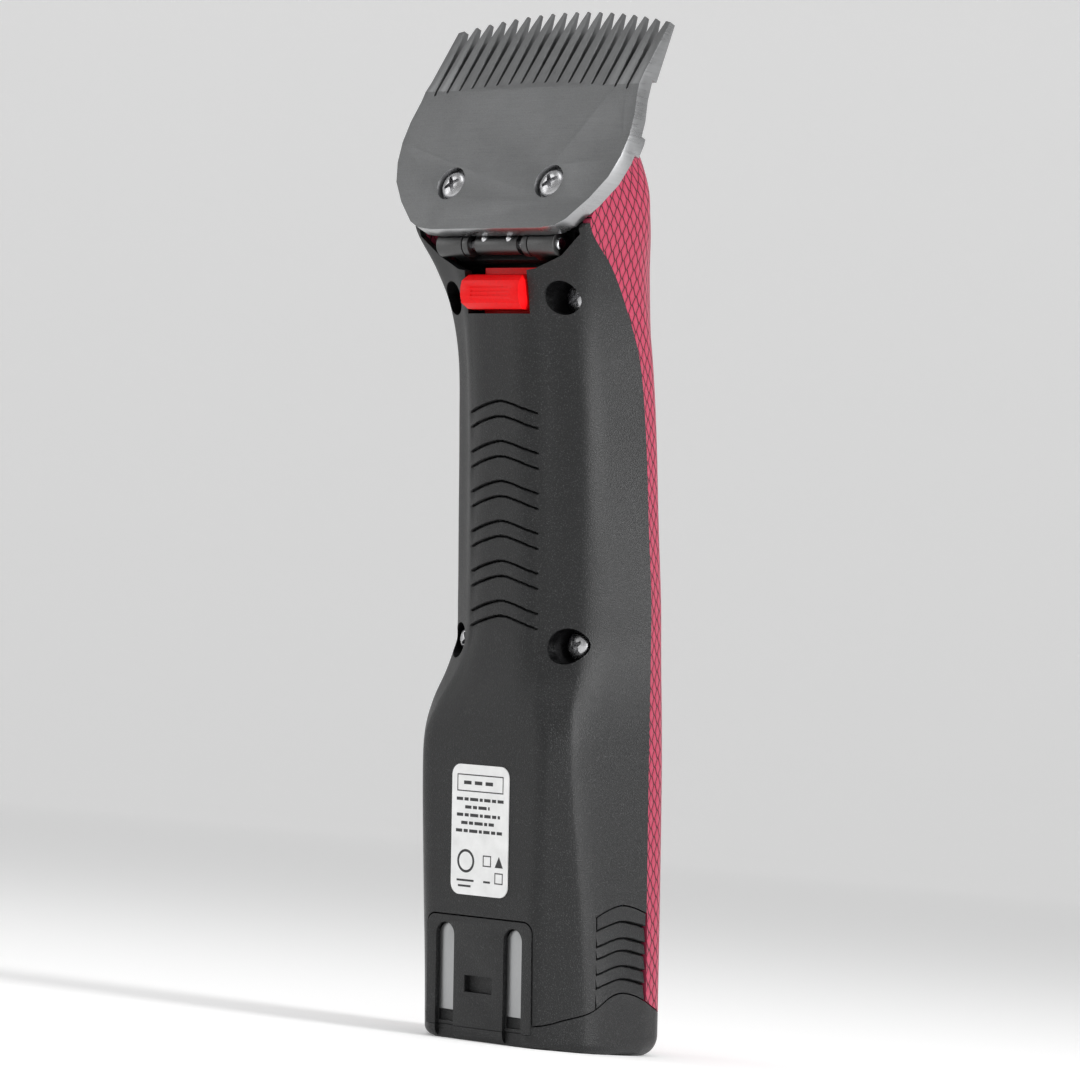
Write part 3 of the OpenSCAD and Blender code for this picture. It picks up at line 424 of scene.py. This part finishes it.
def prism(points, axis, lo, hi, matrix=STAND):
    """A closed prism: an outline in the two other axes, swept from lo to hi along axis."""
    bm = bmesh.new()
    slot = "xyz".index(axis)
    ends = []
    for level in (lo, hi):
        corners = []
        for p in points:
            corner = [p[0], p[1]]
            corner.insert(slot, level)
            corners.append(bm.verts.new(corner))
        ends.append(corners)
    n = len(points)
    bm.faces.new(ends[0])
    bm.faces.new(list(reversed(ends[1])))
    for i in range(n):
        j = (i + 1) % n
        bm.faces.new([ends[0][i], ends[1][i], ends[1][j], ends[0][j]])
    bmesh.ops.recalc_face_normals(bm, faces=bm.faces)
    to_world(bm, matrix)
    return bm


def ring(r, cx=0, cy=0, n=48):
    return arc(cx, cy, r, 0, 360, n)[:-1]


def arc(cx, cy, r, start, end, n=24):
    """Points on an arc between two angles in degrees, both ends kept."""
    angles = [math.radians(start + (end - start) * k / n) for k in range(n + 1)]
    return [(cx + r * math.cos(a), cy + r * math.sin(a)) for a in angles]


def rounded_box(x0, y0, x1, y1, r, n=8):
    """Outline of a box with round corners."""
    return (arc(x1 - r, y1 - r, r, 0, 90, n) + arc(x0 + r, y1 - r, r, 90, 180, n)
            + arc(x0 + r, y0 + r, r, 180, 270, n) + arc(x1 - r, y0 + r, r, 270, 360, n))


def cut(piece, cutters):
    """Subtracts closed bmeshes from a piece."""
    for bm in cutters:
        mesh = bpy.data.meshes.new("cutter")
        bm.to_mesh(mesh)
        bm.free()
        tool = bpy.data.objects.new("cutter", mesh)
        bpy.context.scene.collection.objects.link(tool)
        m = piece.modifiers.new("cut", "BOOLEAN")
        m.operation = "DIFFERENCE"
        m.solver = "EXACT"
        m.object = tool
        apply_modifiers(piece)
        bpy.data.objects.remove(tool)


def loft(rings, caps=True, uvs=None):
    """A bmesh through rings of points; uvs gives each ring point's surface coordinates."""
    bm = bmesh.new()
    grid = [[bm.verts.new(p) for p in r] for r in rings]
    layer = bm.loops.layers.uv.new("skin") if uvs else None
    n = len(rings[0])
    for j in range(len(rings) - 1):
        for i in range(n):
            k = (i + 1) % n
            face = bm.faces.new([grid[j][i], grid[j][k], grid[j + 1][k], grid[j + 1][i]])
            if uvs:
                for loop, (a, b) in zip(face.loops, ((j, i), (j, k), (j + 1, k), (j + 1, i))):
                    loop[layer].uv = uvs[a][b]
    if caps:
        bm.faces.new(list(reversed(grid[0])))
        bm.faces.new(grid[-1])
    return bm


def whole(half):
    """Both halves of a line that starts on the middle plane."""
    return [Vector((-p[0], p[1])) for p in reversed(half)] + list(half[1:])


def bow(x):
    """How far a grip arc falls at x from its middle: rounded at the top, straight beyond."""
    return 0.34 * (math.sqrt(x * x + 6.0) - math.sqrt(6.0))


def shingle(down, run, depth):
    """Depth below the surface at a distance down from an arc: a narrow crease, then a slow rise."""
    if down < 0 or down > run:
        return 0.0
    crease = CREASE_DEEP * math.sin(math.pi * down / CREASE_WIDE) if down < CREASE_WIDE else 0.0
    return depth * min(1.0, down / 0.18) * (1 - down / run) + crease


def grip_depth(x, z):
    """Depth of the finger grip pattern on the back face."""
    fade = 1 - smooth_step(8.2, 9.4, abs(x))
    if fade <= 0:
        return 0.0
    deepest = 0.0
    for i in range(RIB_COUNT):
        top = RIB_TOP - i * RIB_PITCH - bow(x)
        second = top - RIB_SECOND
        deepest = max(deepest, shingle(top - z, RIB_SECOND, 0.5),
                      shingle(second - z, RIB_PITCH - RIB_SECOND, 0.42))
    return deepest * fade


def below_parting(gap):
    """Everything under the foot cap's parting line, moved up by gap."""
    points = [(y, z + gap) for y, z in spline_through(PARTING, 8)]
    return prism(points + [(32, -30), (-32, -30)], "x", -40, 40)


def spline_through(points, n):
    """Catmull-Rom curve through points."""
    out = []
    for i in range(len(points) - 1):
        a, b, c, d = (Vector(points[max(0, min(len(points) - 1, i + k))]) for k in (-1, 0, 1, 2))
        for s in range(n):
            t = s / n
            out.append(0.5 * (2 * b + (c - a) * t + (2 * a - 5 * b + 4 * c - d) * t * t
                              + (3 * b - a - 3 * c + d) * t ** 3))
    return out + [Vector(points[-1])]


# ---------------------------------------------------------------- the two shells
def surface_lengths(points):
    """Distance along a line from its middle point."""
    total = [0.0]
    for a, b in zip(points, points[1:]):
        total.append(total[-1] + (b - a).length)
    middle = total[len(points) // 2]
    return [t - middle for t in total]


def shell_grid(control, heights, n, depth=None, reverse=False, inner=None, fill=(1, 1)):
    """Rings of a hollow half shell: the outer line one way, the inner line back."""
    rings, uvs = [], []
    for z in heights:
        r = row_at(z)
        outer = spline(control(r, 0), n, fill)
        inside = spline(control(r, WALL), n, fill)
        if inner:
            inside = inner(r, z, inside)
        if reverse:
            outer, inside = list(reversed(outer)), list(reversed(inside))
        outer, inside = whole(outer), whole(inside)
        if depth:
            outer = [Vector((p[0], p[1] + depth(p[0], z))) for p in outer]
        lengths = surface_lengths(outer)
        line = outer + list(reversed(inside))
        rings.append([(p[0], p[1], z) for p in line])
        uvs.append([(s, z) for s in lengths] + [(s, z) for s in reversed(lengths)])
    return loft(rings, uvs=uvs)


def under_foot():
    """Everything under the flat foot."""
    return prism([(-60, -60), (60, -60), (60, 60), (-60, 60)], "z", -40, 0, Matrix.Identity(4))


def make_back_shell():
    """The black shell, with rings packed closely where the finger grips are."""
    heights = (frange(1, 60, 2.0) + frange(61.8, 81.8, 0.8) + frange(82, 128.5, 0.17)
               + frange(129.5, BACK_TOP, 1.0))
    bm = shell_grid(back_control, heights, 7, grip_depth, fill=(9, 4, 3))
    bmesh.ops.recalc_face_normals(bm, faces=bm.faces)
    to_world(bm)
    piece = new_piece("back_cover", bm, "black", "housing", ["back_shell"])
    door = rounded_box(-DOOR_X - GAP, -20, DOOR_X + GAP, DOOR_TOP + GAP, DOOR_R + GAP)
    tools = [below_parting(GAP), under_foot(), prism(door, "y", -30, -10), prism(HINGE_OPENING, "y", -30, -9)]
    # Room for the comb's rear edge and for the cells
    tools.append(prism([(-5, -1), (3.7, -1), (3.7, 20), (-5, 20)], "x", -30, 30, ON_BLADE))
    bay = (arc(CELL_PAIR_X, CELL_PAIR_Y, CASE_R + GAP, -90, 90)
           + arc(-CELL_PAIR_X, CELL_PAIR_Y, CASE_R + GAP, 90, 270))
    tools.append(prism(bay, "z", 3, CASE_TOP + GAP))
    for side in (-1, 1):
        pocket = [(LATCH_Y0 - GAP, -5), (8, -5), (8, LATCH_TOP + GAP - CROWN)] + latch_crown(GAP)
        tools.append(side_prism(pocket, side))
        tools.append(prism(ring(RECESS_R, side * SCREW_X, HIGH_SCREW_Z), "y", -30, HIGH_HEAD_Y))
        tools.append(prism(ring(RECESS_R + 0.2, side * SCREW_X, LOW_SCREW_Z), "y", -30, LOW_HEAD_Y))
    cut(piece, tools)
    shade(piece, 35)
    for side in (-1, 1):
        make_recess(side, HIGH_SCREW_Z, HIGH_HEAD_Y, RECESS_R)
        make_recess(side, LOW_SCREW_Z, LOW_HEAD_Y, RECESS_R + 0.2)


def latch_crown(gap):
    """Top edge of a latch pocket from front to back: a low bow, highest in its middle."""
    half = (LATCH_Y1 - LATCH_Y0) / 2 + GAP
    return [(y, LATCH_TOP + gap - CROWN * min(1.0, abs(y - LATCH_PEAK) / half) ** 1.6)
            for y in reversed(frange(LATCH_Y0 - gap, LATCH_Y1 + gap, 0.5))]


def side_prism(points, side):
    """A prism through one side wall of the handle."""
    return prism(points, "x", *sorted((side * 15, side * 30)))


def make_recess(side, z, head_y, r):
    """The lined bottom of a screw recess: a cup that follows the shell's outer face at its mouth. Its darker,
    duller inner black is painted shade.
    """
    wall, floor, bore = 0.9, 1.6, 1.5

    def surface(x, at):
        points = spline(back_control(row_at(at), 0), 16)
        for a, b in zip(points, points[1:]):
            if a[0] <= x <= b[0] and b[0] > a[0]:
                return a[1] + (b[1] - a[1]) * (x - a[0]) / (b[0] - a[0])
        return points[-1][1]

    # Radius and depth of each ring round the cup's wall; no depth means at the shell's face
    section = [(r + wall, head_y + floor), (r + wall, None), (r, None), (r, head_y + 0.02),
               (bore, head_y + 0.02), (bore, head_y + floor)]
    rings = []
    for radius, deep in section:
        points = []
        for x, h in ring(radius, SCREW_X, z):
            y = deep if deep is not None else min(head_y, surface(x, h) + 0.35)
            points.append((side * min(x, SIDE_LIMIT), y, h))
        rings.append(points)
    bm = loft(rings + [rings[0]], caps=False)
    bmesh.ops.remove_doubles(bm, verts=bm.verts, dist=1e-4)
    bmesh.ops.recalc_face_normals(bm, faces=bm.faces)
    to_world(bm)
    name = "recess_{}_{}".format("right" if side > 0 else "left", "low" if z == LOW_SCREW_Z else "high")
    # The lining's darker inner black is painted shade inside the recess
    shade(new_piece(name, bm, "inside", "housing"))


def nose_inner(r, z, inside):
    """Near the top the front shell's hollow closes to the chord between its rims."""
    w = min(1, max(0, (z - 178) / 5))
    return [Vector((p[0], p[1] * (1 - w) + (r[9] + 0.2) * w)) for p in inside]


def make_front_shell():
    """The red shell, with its holes for the power button and the light pipe."""
    heights = frange(1, 120, 2.4) + frange(121, NOSE_TOP, 0.8)
    bm = shell_grid(front_control, heights, 14, None, True, nose_inner)
    bmesh.ops.recalc_face_normals(bm, faces=bm.faces)
    to_world(bm)
    piece = new_piece("front_cover", bm, "scales", "housing", ["front_shell"])
    pocket = [(LATCH_Y0 - GAP, -5), (LATCH_Y1 + 0.6, -5), (LATCH_Y1 + 0.6, LATCH_TOP - CROWN + GAP),
              (LATCH_Y0 - GAP, LATCH_TOP + GAP)]
    cut(piece, [below_parting(GAP), side_prism(pocket, -1), side_prism(pocket, 1),
                prism(ring(POWER_R + 0.35, 0, POWER_Z), "y", 8, 30),
                prism(ring(LED_R, 0, LED_Z), "y", 8, 30)])
    shade(piece, 35)


# ---------------------------------------------------------------- battery foot and latches
def full_line(z, n):
    """The handle's whole outline at height z."""
    r = row_at(z)
    back = whole(spline(back_control(r, 0), n))
    front = whole(list(reversed(spline(front_control(r, 0), n))))
    return back + list(reversed(front))[1:-1]


def foot_inset(y, height):
    """How far the foot's lower edge is rounded off at a height over the table, most at its front."""
    radius = 1.9 + 2.4 * smooth_step(-2, 12, y)
    down = radius - min(radius, max(0.0, height))
    return radius - math.sqrt(radius * radius - down * down)


def make_battery_cap():
    """The foot: the handle's own outline up to the parting line, rounded under its edge."""
    rings = []
    for z in frange(-5, 13.6, 0.3):
        line = []
        for p in full_line(z, 10):
            inset = foot_inset(p[1], (STAND @ Vector((p[0], p[1], z)))[2])
            keep = 1 - inset / Vector(p[:2]).length
            line.append((p[0] * keep, p[1] * keep, z))
        rings.append(line)
    bm = loft(rings)
    bmesh.ops.recalc_face_normals(bm, faces=bm.faces)
    to_world(bm)
    piece = new_piece("foot_cap", bm, "black", "battery", ["battery_cap"])
    above = spline_through(PARTING, 8) + [(32, 40), (-32, 40)]
    edge = DOOR_X + 0.02
    door = [(-edge, 4.6), (edge, 4.6), (edge, 40), (-edge, 40)]
    hollow = [(-15.6, -15), (15.6, -15), (20, -8), (20, 8), (14, 14), (-14, 14), (-20, 8), (-20, -8)]
    tools = [prism(above, "x", -40, 40), under_foot(), prism(door, "y", -40, -14),
             prism(hollow, "z", 2.6, 40)]
    for side in (-1, 1):
        x0, x1 = side * SLOT_X - SLOT_W / 2, side * SLOT_X + SLOT_W / 2
        tools.append(prism([(x0, -10), (x1, -10), (x1, 30), (x0, 30)], "y", -30, -17.8))
    cut(piece, tools)
    bevel(piece, 1.2, 4, 50)
    apply_modifiers(piece)
    shade(piece, 40)


def side_grip(y, z):
    """Depth of the shingled arcs on a side latch."""
    y -= LATCH_PEAK
    fall = 0.30 * (math.sqrt(y * y + 5.0) - math.sqrt(5.0))
    tops, runs = (26.6, 23.4, 21.0, 18.0, 15.4), (3.2, 2.4, 3.0, 2.6, 3.4)
    return max(shingle(top - fall - z, run, 0.5) for top, run in zip(tops, runs))


def make_latch(side):
    """A latch pad: a patch of the handle's side with shingled finger arcs."""
    heights = frange(9.2, LATCH_TOP, 0.12)
    ys = frange(LATCH_Y0, LATCH_Y1, 0.5)

    def outer_x(y, z):
        points = spline(back_control(row_at(z), 0), 14)
        for a, b in zip(points, points[1:]):
            if a[1] <= y <= b[1] and b[1] > a[1]:
                return a[0] + (b[0] - a[0]) * (y - a[1]) / (b[1] - a[1])
        return points[-1][0]

    bm = bmesh.new()
    outer = [[bm.verts.new((side * (outer_x(y, z) - side_grip(y, z)), y, z)) for y in ys] for z in heights]
    inner = [[bm.verts.new((side * 20.25, y, z)) for y in ys] for z in heights]
    rows, cols = len(heights), len(ys)
    for j in range(rows - 1):
        for i in range(cols - 1):
            bm.faces.new([outer[j][i], outer[j][i + 1], outer[j + 1][i + 1], outer[j + 1][i]])
            bm.faces.new([inner[j][i], inner[j + 1][i], inner[j + 1][i + 1], inner[j][i + 1]])
    for j in range(rows - 1):
        for i in (0, cols - 1):
            bm.faces.new([outer[j][i], outer[j + 1][i], inner[j + 1][i], inner[j][i]])
    for i in range(cols - 1):
        for j in (0, rows - 1):
            bm.faces.new([outer[j][i], inner[j][i], inner[j][i + 1], outer[j][i + 1]])
    bmesh.ops.recalc_face_normals(bm, faces=bm.faces)
    to_world(bm)
    word = "right" if side > 0 else "left"
    piece = new_piece(f"{word}_latch_pad", bm, "black", f"{word}_latch", [f"latch_{word}"])
    low = LATCH_TOP - CROWN
    over = list(reversed(latch_crown(0))) + [(10, low), (10, 40), (-20, 40), (-20, low)]
    cut(piece, [below_parting(GAP), prism(over, "x", -40, 40)])
    shade(piece, 35)


# ---------------------------------------------------------------- screws
def make_screw(name, base, radius, height, body, matrix, node):
    """A pan head with a round rim and a cross recess, facing -Y at base."""
    profile = [(radius, 0), (radius, height * 0.25), (radius * 0.95, height * 0.6),
               (radius * 0.78, height * 0.86), (radius * 0.45, height * 0.98), (0.01, height)]
    rings = []
    for r, h in profile:
        rings.append([(base[0] + x, base[1] - h, base[2] + z) for x, z in ring(r, 0, 0, 48)])
    bm = loft(rings)
    bmesh.ops.remove_doubles(bm, verts=bm.verts, dist=1e-4)
    bmesh.ops.recalc_face_normals(bm, faces=bm.faces)
    to_world(bm, matrix)
    piece = new_piece(name, bm, "zinc", body)
    tools = []
    for turn in (0.5, 0.5 + math.pi / 2):
        length, half = radius * 0.62, radius * 0.15
        corners = [(-length, -half * 0.7), (0, -half * 1.3), (length, -half * 0.7),
                   (length, half * 0.7), (0, half * 1.3), (-length, half * 0.7)]
        turned = [Matrix.Rotation(turn, 2) @ Vector(c) for c in corners]
        outline = [(base[0] + c[0], base[2] + c[1]) for c in turned]
        tools.append(prism(outline, "y", base[1] - height - 1, base[1] - height * 0.3, matrix))
    cut(piece, tools)
    bevel(piece, radius * 0.035, 2, 40)
    apply_modifiers(piece)
    shade(piece, 35)
    if node:
        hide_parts(node)


# ---------------------------------------------------------------- rating label
def make_label():
    """A white film with plain bars and simple shapes where a rating label has its print."""
    face = -18.95
    z0, z1 = 30.65, 56.15
    bm = prism(rounded_box(-7.6, z0, 7.6, z1, 2.2, 10), "y", face, -18.72)
    piece = new_piece("label_film", bm, "film", "housing", ["rating_plate"])
    shade(piece)
    marks = bmesh.new()

    def add(points):
        one = prism(points, "y", face - 0.02, face + 0.05)
        mesh = bpy.data.meshes.new("mark")
        one.to_mesh(mesh)
        one.free()
        marks.from_mesh(mesh)

    def bar(x0, x1, z, h=0.55):
        add([(x0, z), (x1, z), (x1, z + h), (x0, z + h)])

    def frame_of(x0, x1, a, b, t=0.22):
        bar(x0, x1, a, t)
        bar(x0, x1, b - t, t)
        add([(x0, a), (x0 + t, a), (x0 + t, b), (x0, b)])
        add([(x1 - t, a), (x1, a), (x1, b), (x1 - t, b)])

    top = z1 - 1.9
    frame_of(-6.2, 6.2, top - 3.4, top)
    for x in (-4.4, -1.5, 1.4):
        bar(x, x + 2.0, top - 2.0, 0.7)
    line = top - 5.2
    for widths in ((-6.3, 6.3), (-4.0, 2.6), (-6.2, 5.4), (-5.0, 3.8), (-6.4, 6.0)):
        x = widths[0]
        step = 0
        while x < widths[1]:
            long = (1.7, 1.1, 2.2, 0.8)[step % 4]
            bar(x, min(x + long, widths[1]), line, 0.62)
            x += long + 0.4
            step += 1
        line -= 1.55
    low = z0 + 1.6
    outer, inside = ring(2.3, -3.6, low + 5.0, 40), ring(1.8, -3.6, low + 5.0, 40)
    for k in range(40):
        add([outer[k - 1], outer[k], inside[k], inside[k - 1]])
    bar(-6.0, -1.4, low + 1.0, 0.4)
    bar(-5.6, -2.2, low - 0.1, 0.4)
    frame_of(1.0, 3.2, low + 4.2, low + 6.4)
    add([(4.2, low + 4.2), (6.4, low + 4.2), (5.3, low + 6.4)])
    frame_of(4.2, 6.4, low + 1.0, low + 3.2)
    bar(1.2, 3.0, low + 1.0, 0.4)
    new_piece("label_print", marks, "ink", "housing")


# ---------------------------------------------------------------- everything else from the CAD
# CAD node: its look, and the width and segments of its rounded edges
ROUNDED = {
    "comb_blade": ("blade", 0.16, 2),
    "cutter_blade": ("ground", 0.1, 2),
    "blade_socket": ("bright", 0.2, 2),
    "tension_spring": ("pin", 0.15, 2),
    "cutter_guide": ("inside", 0.2, 2),
    "hinge_tongue": ("knuckle", 0.25, 3),
    "hinge_pin": ("bright", 0.3, 3),
    "hinge_bracket": ("knuckle", 0.3, 3),
    "release_button": ("red key", 0.45, 4),
    "head_frame": ("inside", 0.3, 2),
    "battery_case": ("black", 0.25, 3),
    "charge_contacts": ("nickel", 0.12, 2),
    "power_button": ("rubber", 0.5, 4),
    "drive_lever": ("ground", 0.2, 2),
    "motor_can": ("can", 0.4, 3),
    "light_pipe": ("lens", 0.2, 3),
}
# CAD nodes whose shape is kept as it is, with their looks
PLAIN = {
    "tongue_rivets": "bright", "release_spring": "pin", "motor_end_cap": "inside",
    "motor_terminals": "brass", "motor_magnets": "ferrite", "motor_mount": "rubber",
    "front_bearing": "bronze", "motor_shaft": "bright", "motor_armature": "copper",
    "commutator": "copper", "eccentric": "ground", "eccentric_bearing": "bright",
    "lever_bush": "bronze", "lever_pin": "bright", "grease_seal": "felt", "circuit_board": "board",
    "power_switch": "inside", "status_leds": "lens", "button_seal": "rubber", "bay_contacts": "brass",
    "battery_leads": "red wire", "motor_leads": "black wire", "battery_cells": "wrap",
    "cell_straps": "nickel", "pack_board": "board", "pack_terminals": "brass", "latch_springs": "pin",
}


def dress_plain(node, look):
    """A CAD node whose shape is right gets a better material."""
    data = frame["nodes"][node].data
    for i in range(max(1, len(data.materials))):
        if len(data.materials):
            data.materials[i] = LOOKS[look]
        else:
            data.materials.append(LOOKS[look])


def dress_edges(piece):
    """The comb's outer face is blasted, its teeth are ground lengthways and its rim is bright."""
    piece.data.materials.append(LOOKS["edge"])
    piece.data.materials.append(LOOKS["teeth"])
    to_blade = ON_BLADE.inverted()
    outward = (ON_BLADE.to_3x3() @ Vector((0, -1, 0))).normalized()
    for face in piece.data.polygons:
        if face.normal.dot(outward) < 0.985:
            middle = to_blade @ (face.center / MM)
            in_teeth = middle[2] > ROOT_LINE and abs(middle[0]) < COMB_SIDE
            face.material_index = 2 if in_teeth else 1


def round_door(piece):
    """Rounds the two upper corners of the door like the opening around it."""
    tools = []
    for side in (-1, 1):
        corner = arc(DOOR_X - DOOR_R, DOOR_TOP - DOOR_R, DOOR_R, 0, 90, 12)
        corner += [(DOOR_X - DOOR_R, DOOR_TOP + 2), (DOOR_X + 2, DOOR_TOP + 2),
                   (DOOR_X + 2, DOOR_TOP - DOOR_R)]
        tools.append(prism([(side * x, z) for x, z in corner], "y", -30, -16.5))
    cut(piece, tools)
    shade(piece)


def make_parts():
    make_back_shell()
    make_front_shell()
    make_battery_cap()
    for side in (-1, 1):
        make_latch(side)
    make_label()
    for node, (look, width, segments) in ROUNDED.items():
        rounded_copy(node, look, width, segments)
    for node, look in PLAIN.items():
        dress_plain(node, look)
    dress_edges(bpy.data.objects["comb_blade_finished"])
    round_door(bpy.data.objects["battery_case_finished"])
    # A node is named once, by the first of its screws
    for side, word in ((-1, "left"), (1, "right")):
        make_screw(f"{word}_high_screw", (side * SCREW_X, HIGH_HEAD_Y, HIGH_SCREW_Z), 2.75, 2.1,
                   "housing", STAND, "housing_screws" if side < 0 else None)
        make_screw(f"{word}_low_screw", (side * SCREW_X, LOW_HEAD_Y, LOW_SCREW_Z), 2.75, 2.1,
                   "housing", STAND, None)
        make_screw(f"{word}_blade_screw", (side * BLADE_SCREW_X, 1.85, BLADE_SCREW_Z), 3.0, 1.75,
                   "blade_set", ON_BLADE, "blade_screws" if side < 0 else None)


# ---------------------------------------------------------------- camera, light and floor
CAMERA_AZIMUTH, CAMERA_ELEVATION, CAMERA_ROLL = math.radians(43), math.radians(1.54), math.radians(1.0)
CAMERA_DISTANCE, AIM_LEFT = 1002.2, 5.35
AIM = Vector((0, 4.7, 99.9))


def make_camera():
    """Looks at the handle from its own frame, so it leans with the handle."""
    ca, sa = math.cos(CAMERA_AZIMUTH), math.sin(CAMERA_AZIMUTH)
    ce, se = math.cos(CAMERA_ELEVATION), math.sin(CAMERA_ELEVATION)
    right = Vector((ca, sa, 0))
    back = Vector((sa * ce, -ca * ce, se))
    up = back.cross(right)
    turn = Matrix.Rotation(CAMERA_ROLL, 3, back)
    right, up = turn @ right, turn @ up
    place = AIM + back * CAMERA_DISTANCE - right * AIM_LEFT
    matrix = Matrix((right, up, back)).transposed().to_4x4()
    matrix.translation = place
    data = bpy.data.cameras.new("camera")
    data.lens, data.sensor_width = 168.7, 36
    camera = bpy.data.objects.new("camera", data)
    stood = STAND @ matrix
    stood.translation *= MM
    camera.matrix_world = stood
    bpy.context.scene.collection.objects.link(camera)
    bpy.context.scene.camera = camera


def area_light(name, place, size, power):
    """A rectangular white light, aimed at the handle's middle."""
    data = bpy.data.lights.new(name, "AREA")
    data.shape, data.size, data.size_y = "RECTANGLE", size[0], size[1]
    data.energy = power
    light = bpy.data.objects.new(name, data)
    light.location = place
    light.rotation_euler = (Vector((0, 0, 0.1)) - Vector(place)).to_track_quat("-Z", "Y").to_euler()
    bpy.context.scene.collection.objects.link(light)
    return light


def make_studio():
    """Pale floor, even surroundings and the lights."""
    # A wide dish: flat under the clipper, and swept up at its rim
    flat, bend, height = 5.0, 1.2, 1.8
    section = [(0.01, 0), (flat * 0.5, 0)] + arc(flat, bend, bend, -90, 0, 10) + [(flat + bend, height)]
    bm = loft([[(x, y, h) for x, y in ring(r, n=96)] for r, h in section], caps=False)
    hole = [e for e in bm.edges if e.is_boundary and e.verts[0].co.length < 0.1]
    bmesh.ops.contextual_create(bm, geom=hole)
    bmesh.ops.recalc_face_normals(bm, faces=bm.faces)
    floor_mesh = bpy.data.meshes.new("floor")
    bm.to_mesh(floor_mesh)
    bm.free()
    floor_mesh.shade_smooth()
    floor = bpy.data.objects.new("floor", floor_mesh)
    bpy.context.scene.collection.objects.link(floor)
    pale = material("pale floor", (0.93, 0.93, 0.93), 0.8, specular=0.1)
    glow = pale.node_tree.nodes["Principled BSDF"].inputs
    glow["Emission Color"].default_value = (1, 1, 1, 1)
    glow["Emission Strength"].default_value = 0.16
    floor_mesh.materials.append(pale)
    world = bpy.data.worlds.new("studio")
    world.use_nodes = True
    world.node_tree.nodes["Background"].inputs["Color"].default_value = (1, 1, 1, 1)
    world.node_tree.nodes["Background"].inputs["Strength"].default_value = 0.46
    bpy.context.scene.world = world
    area_light("left key", (-0.75, -0.55, 0.5), (0.35, 0.9), 1.6)
    area_light("right key", (1.0, 0.02, 0.45), (0.22, 0.9), 11.0)
    area_light("top", (0.1, -0.3, 0.95), (0.6, 0.5), 1.8)
    bpy.context.scene.view_settings.view_transform = "Standard"


make_parts()
make_camera()
make_studio()
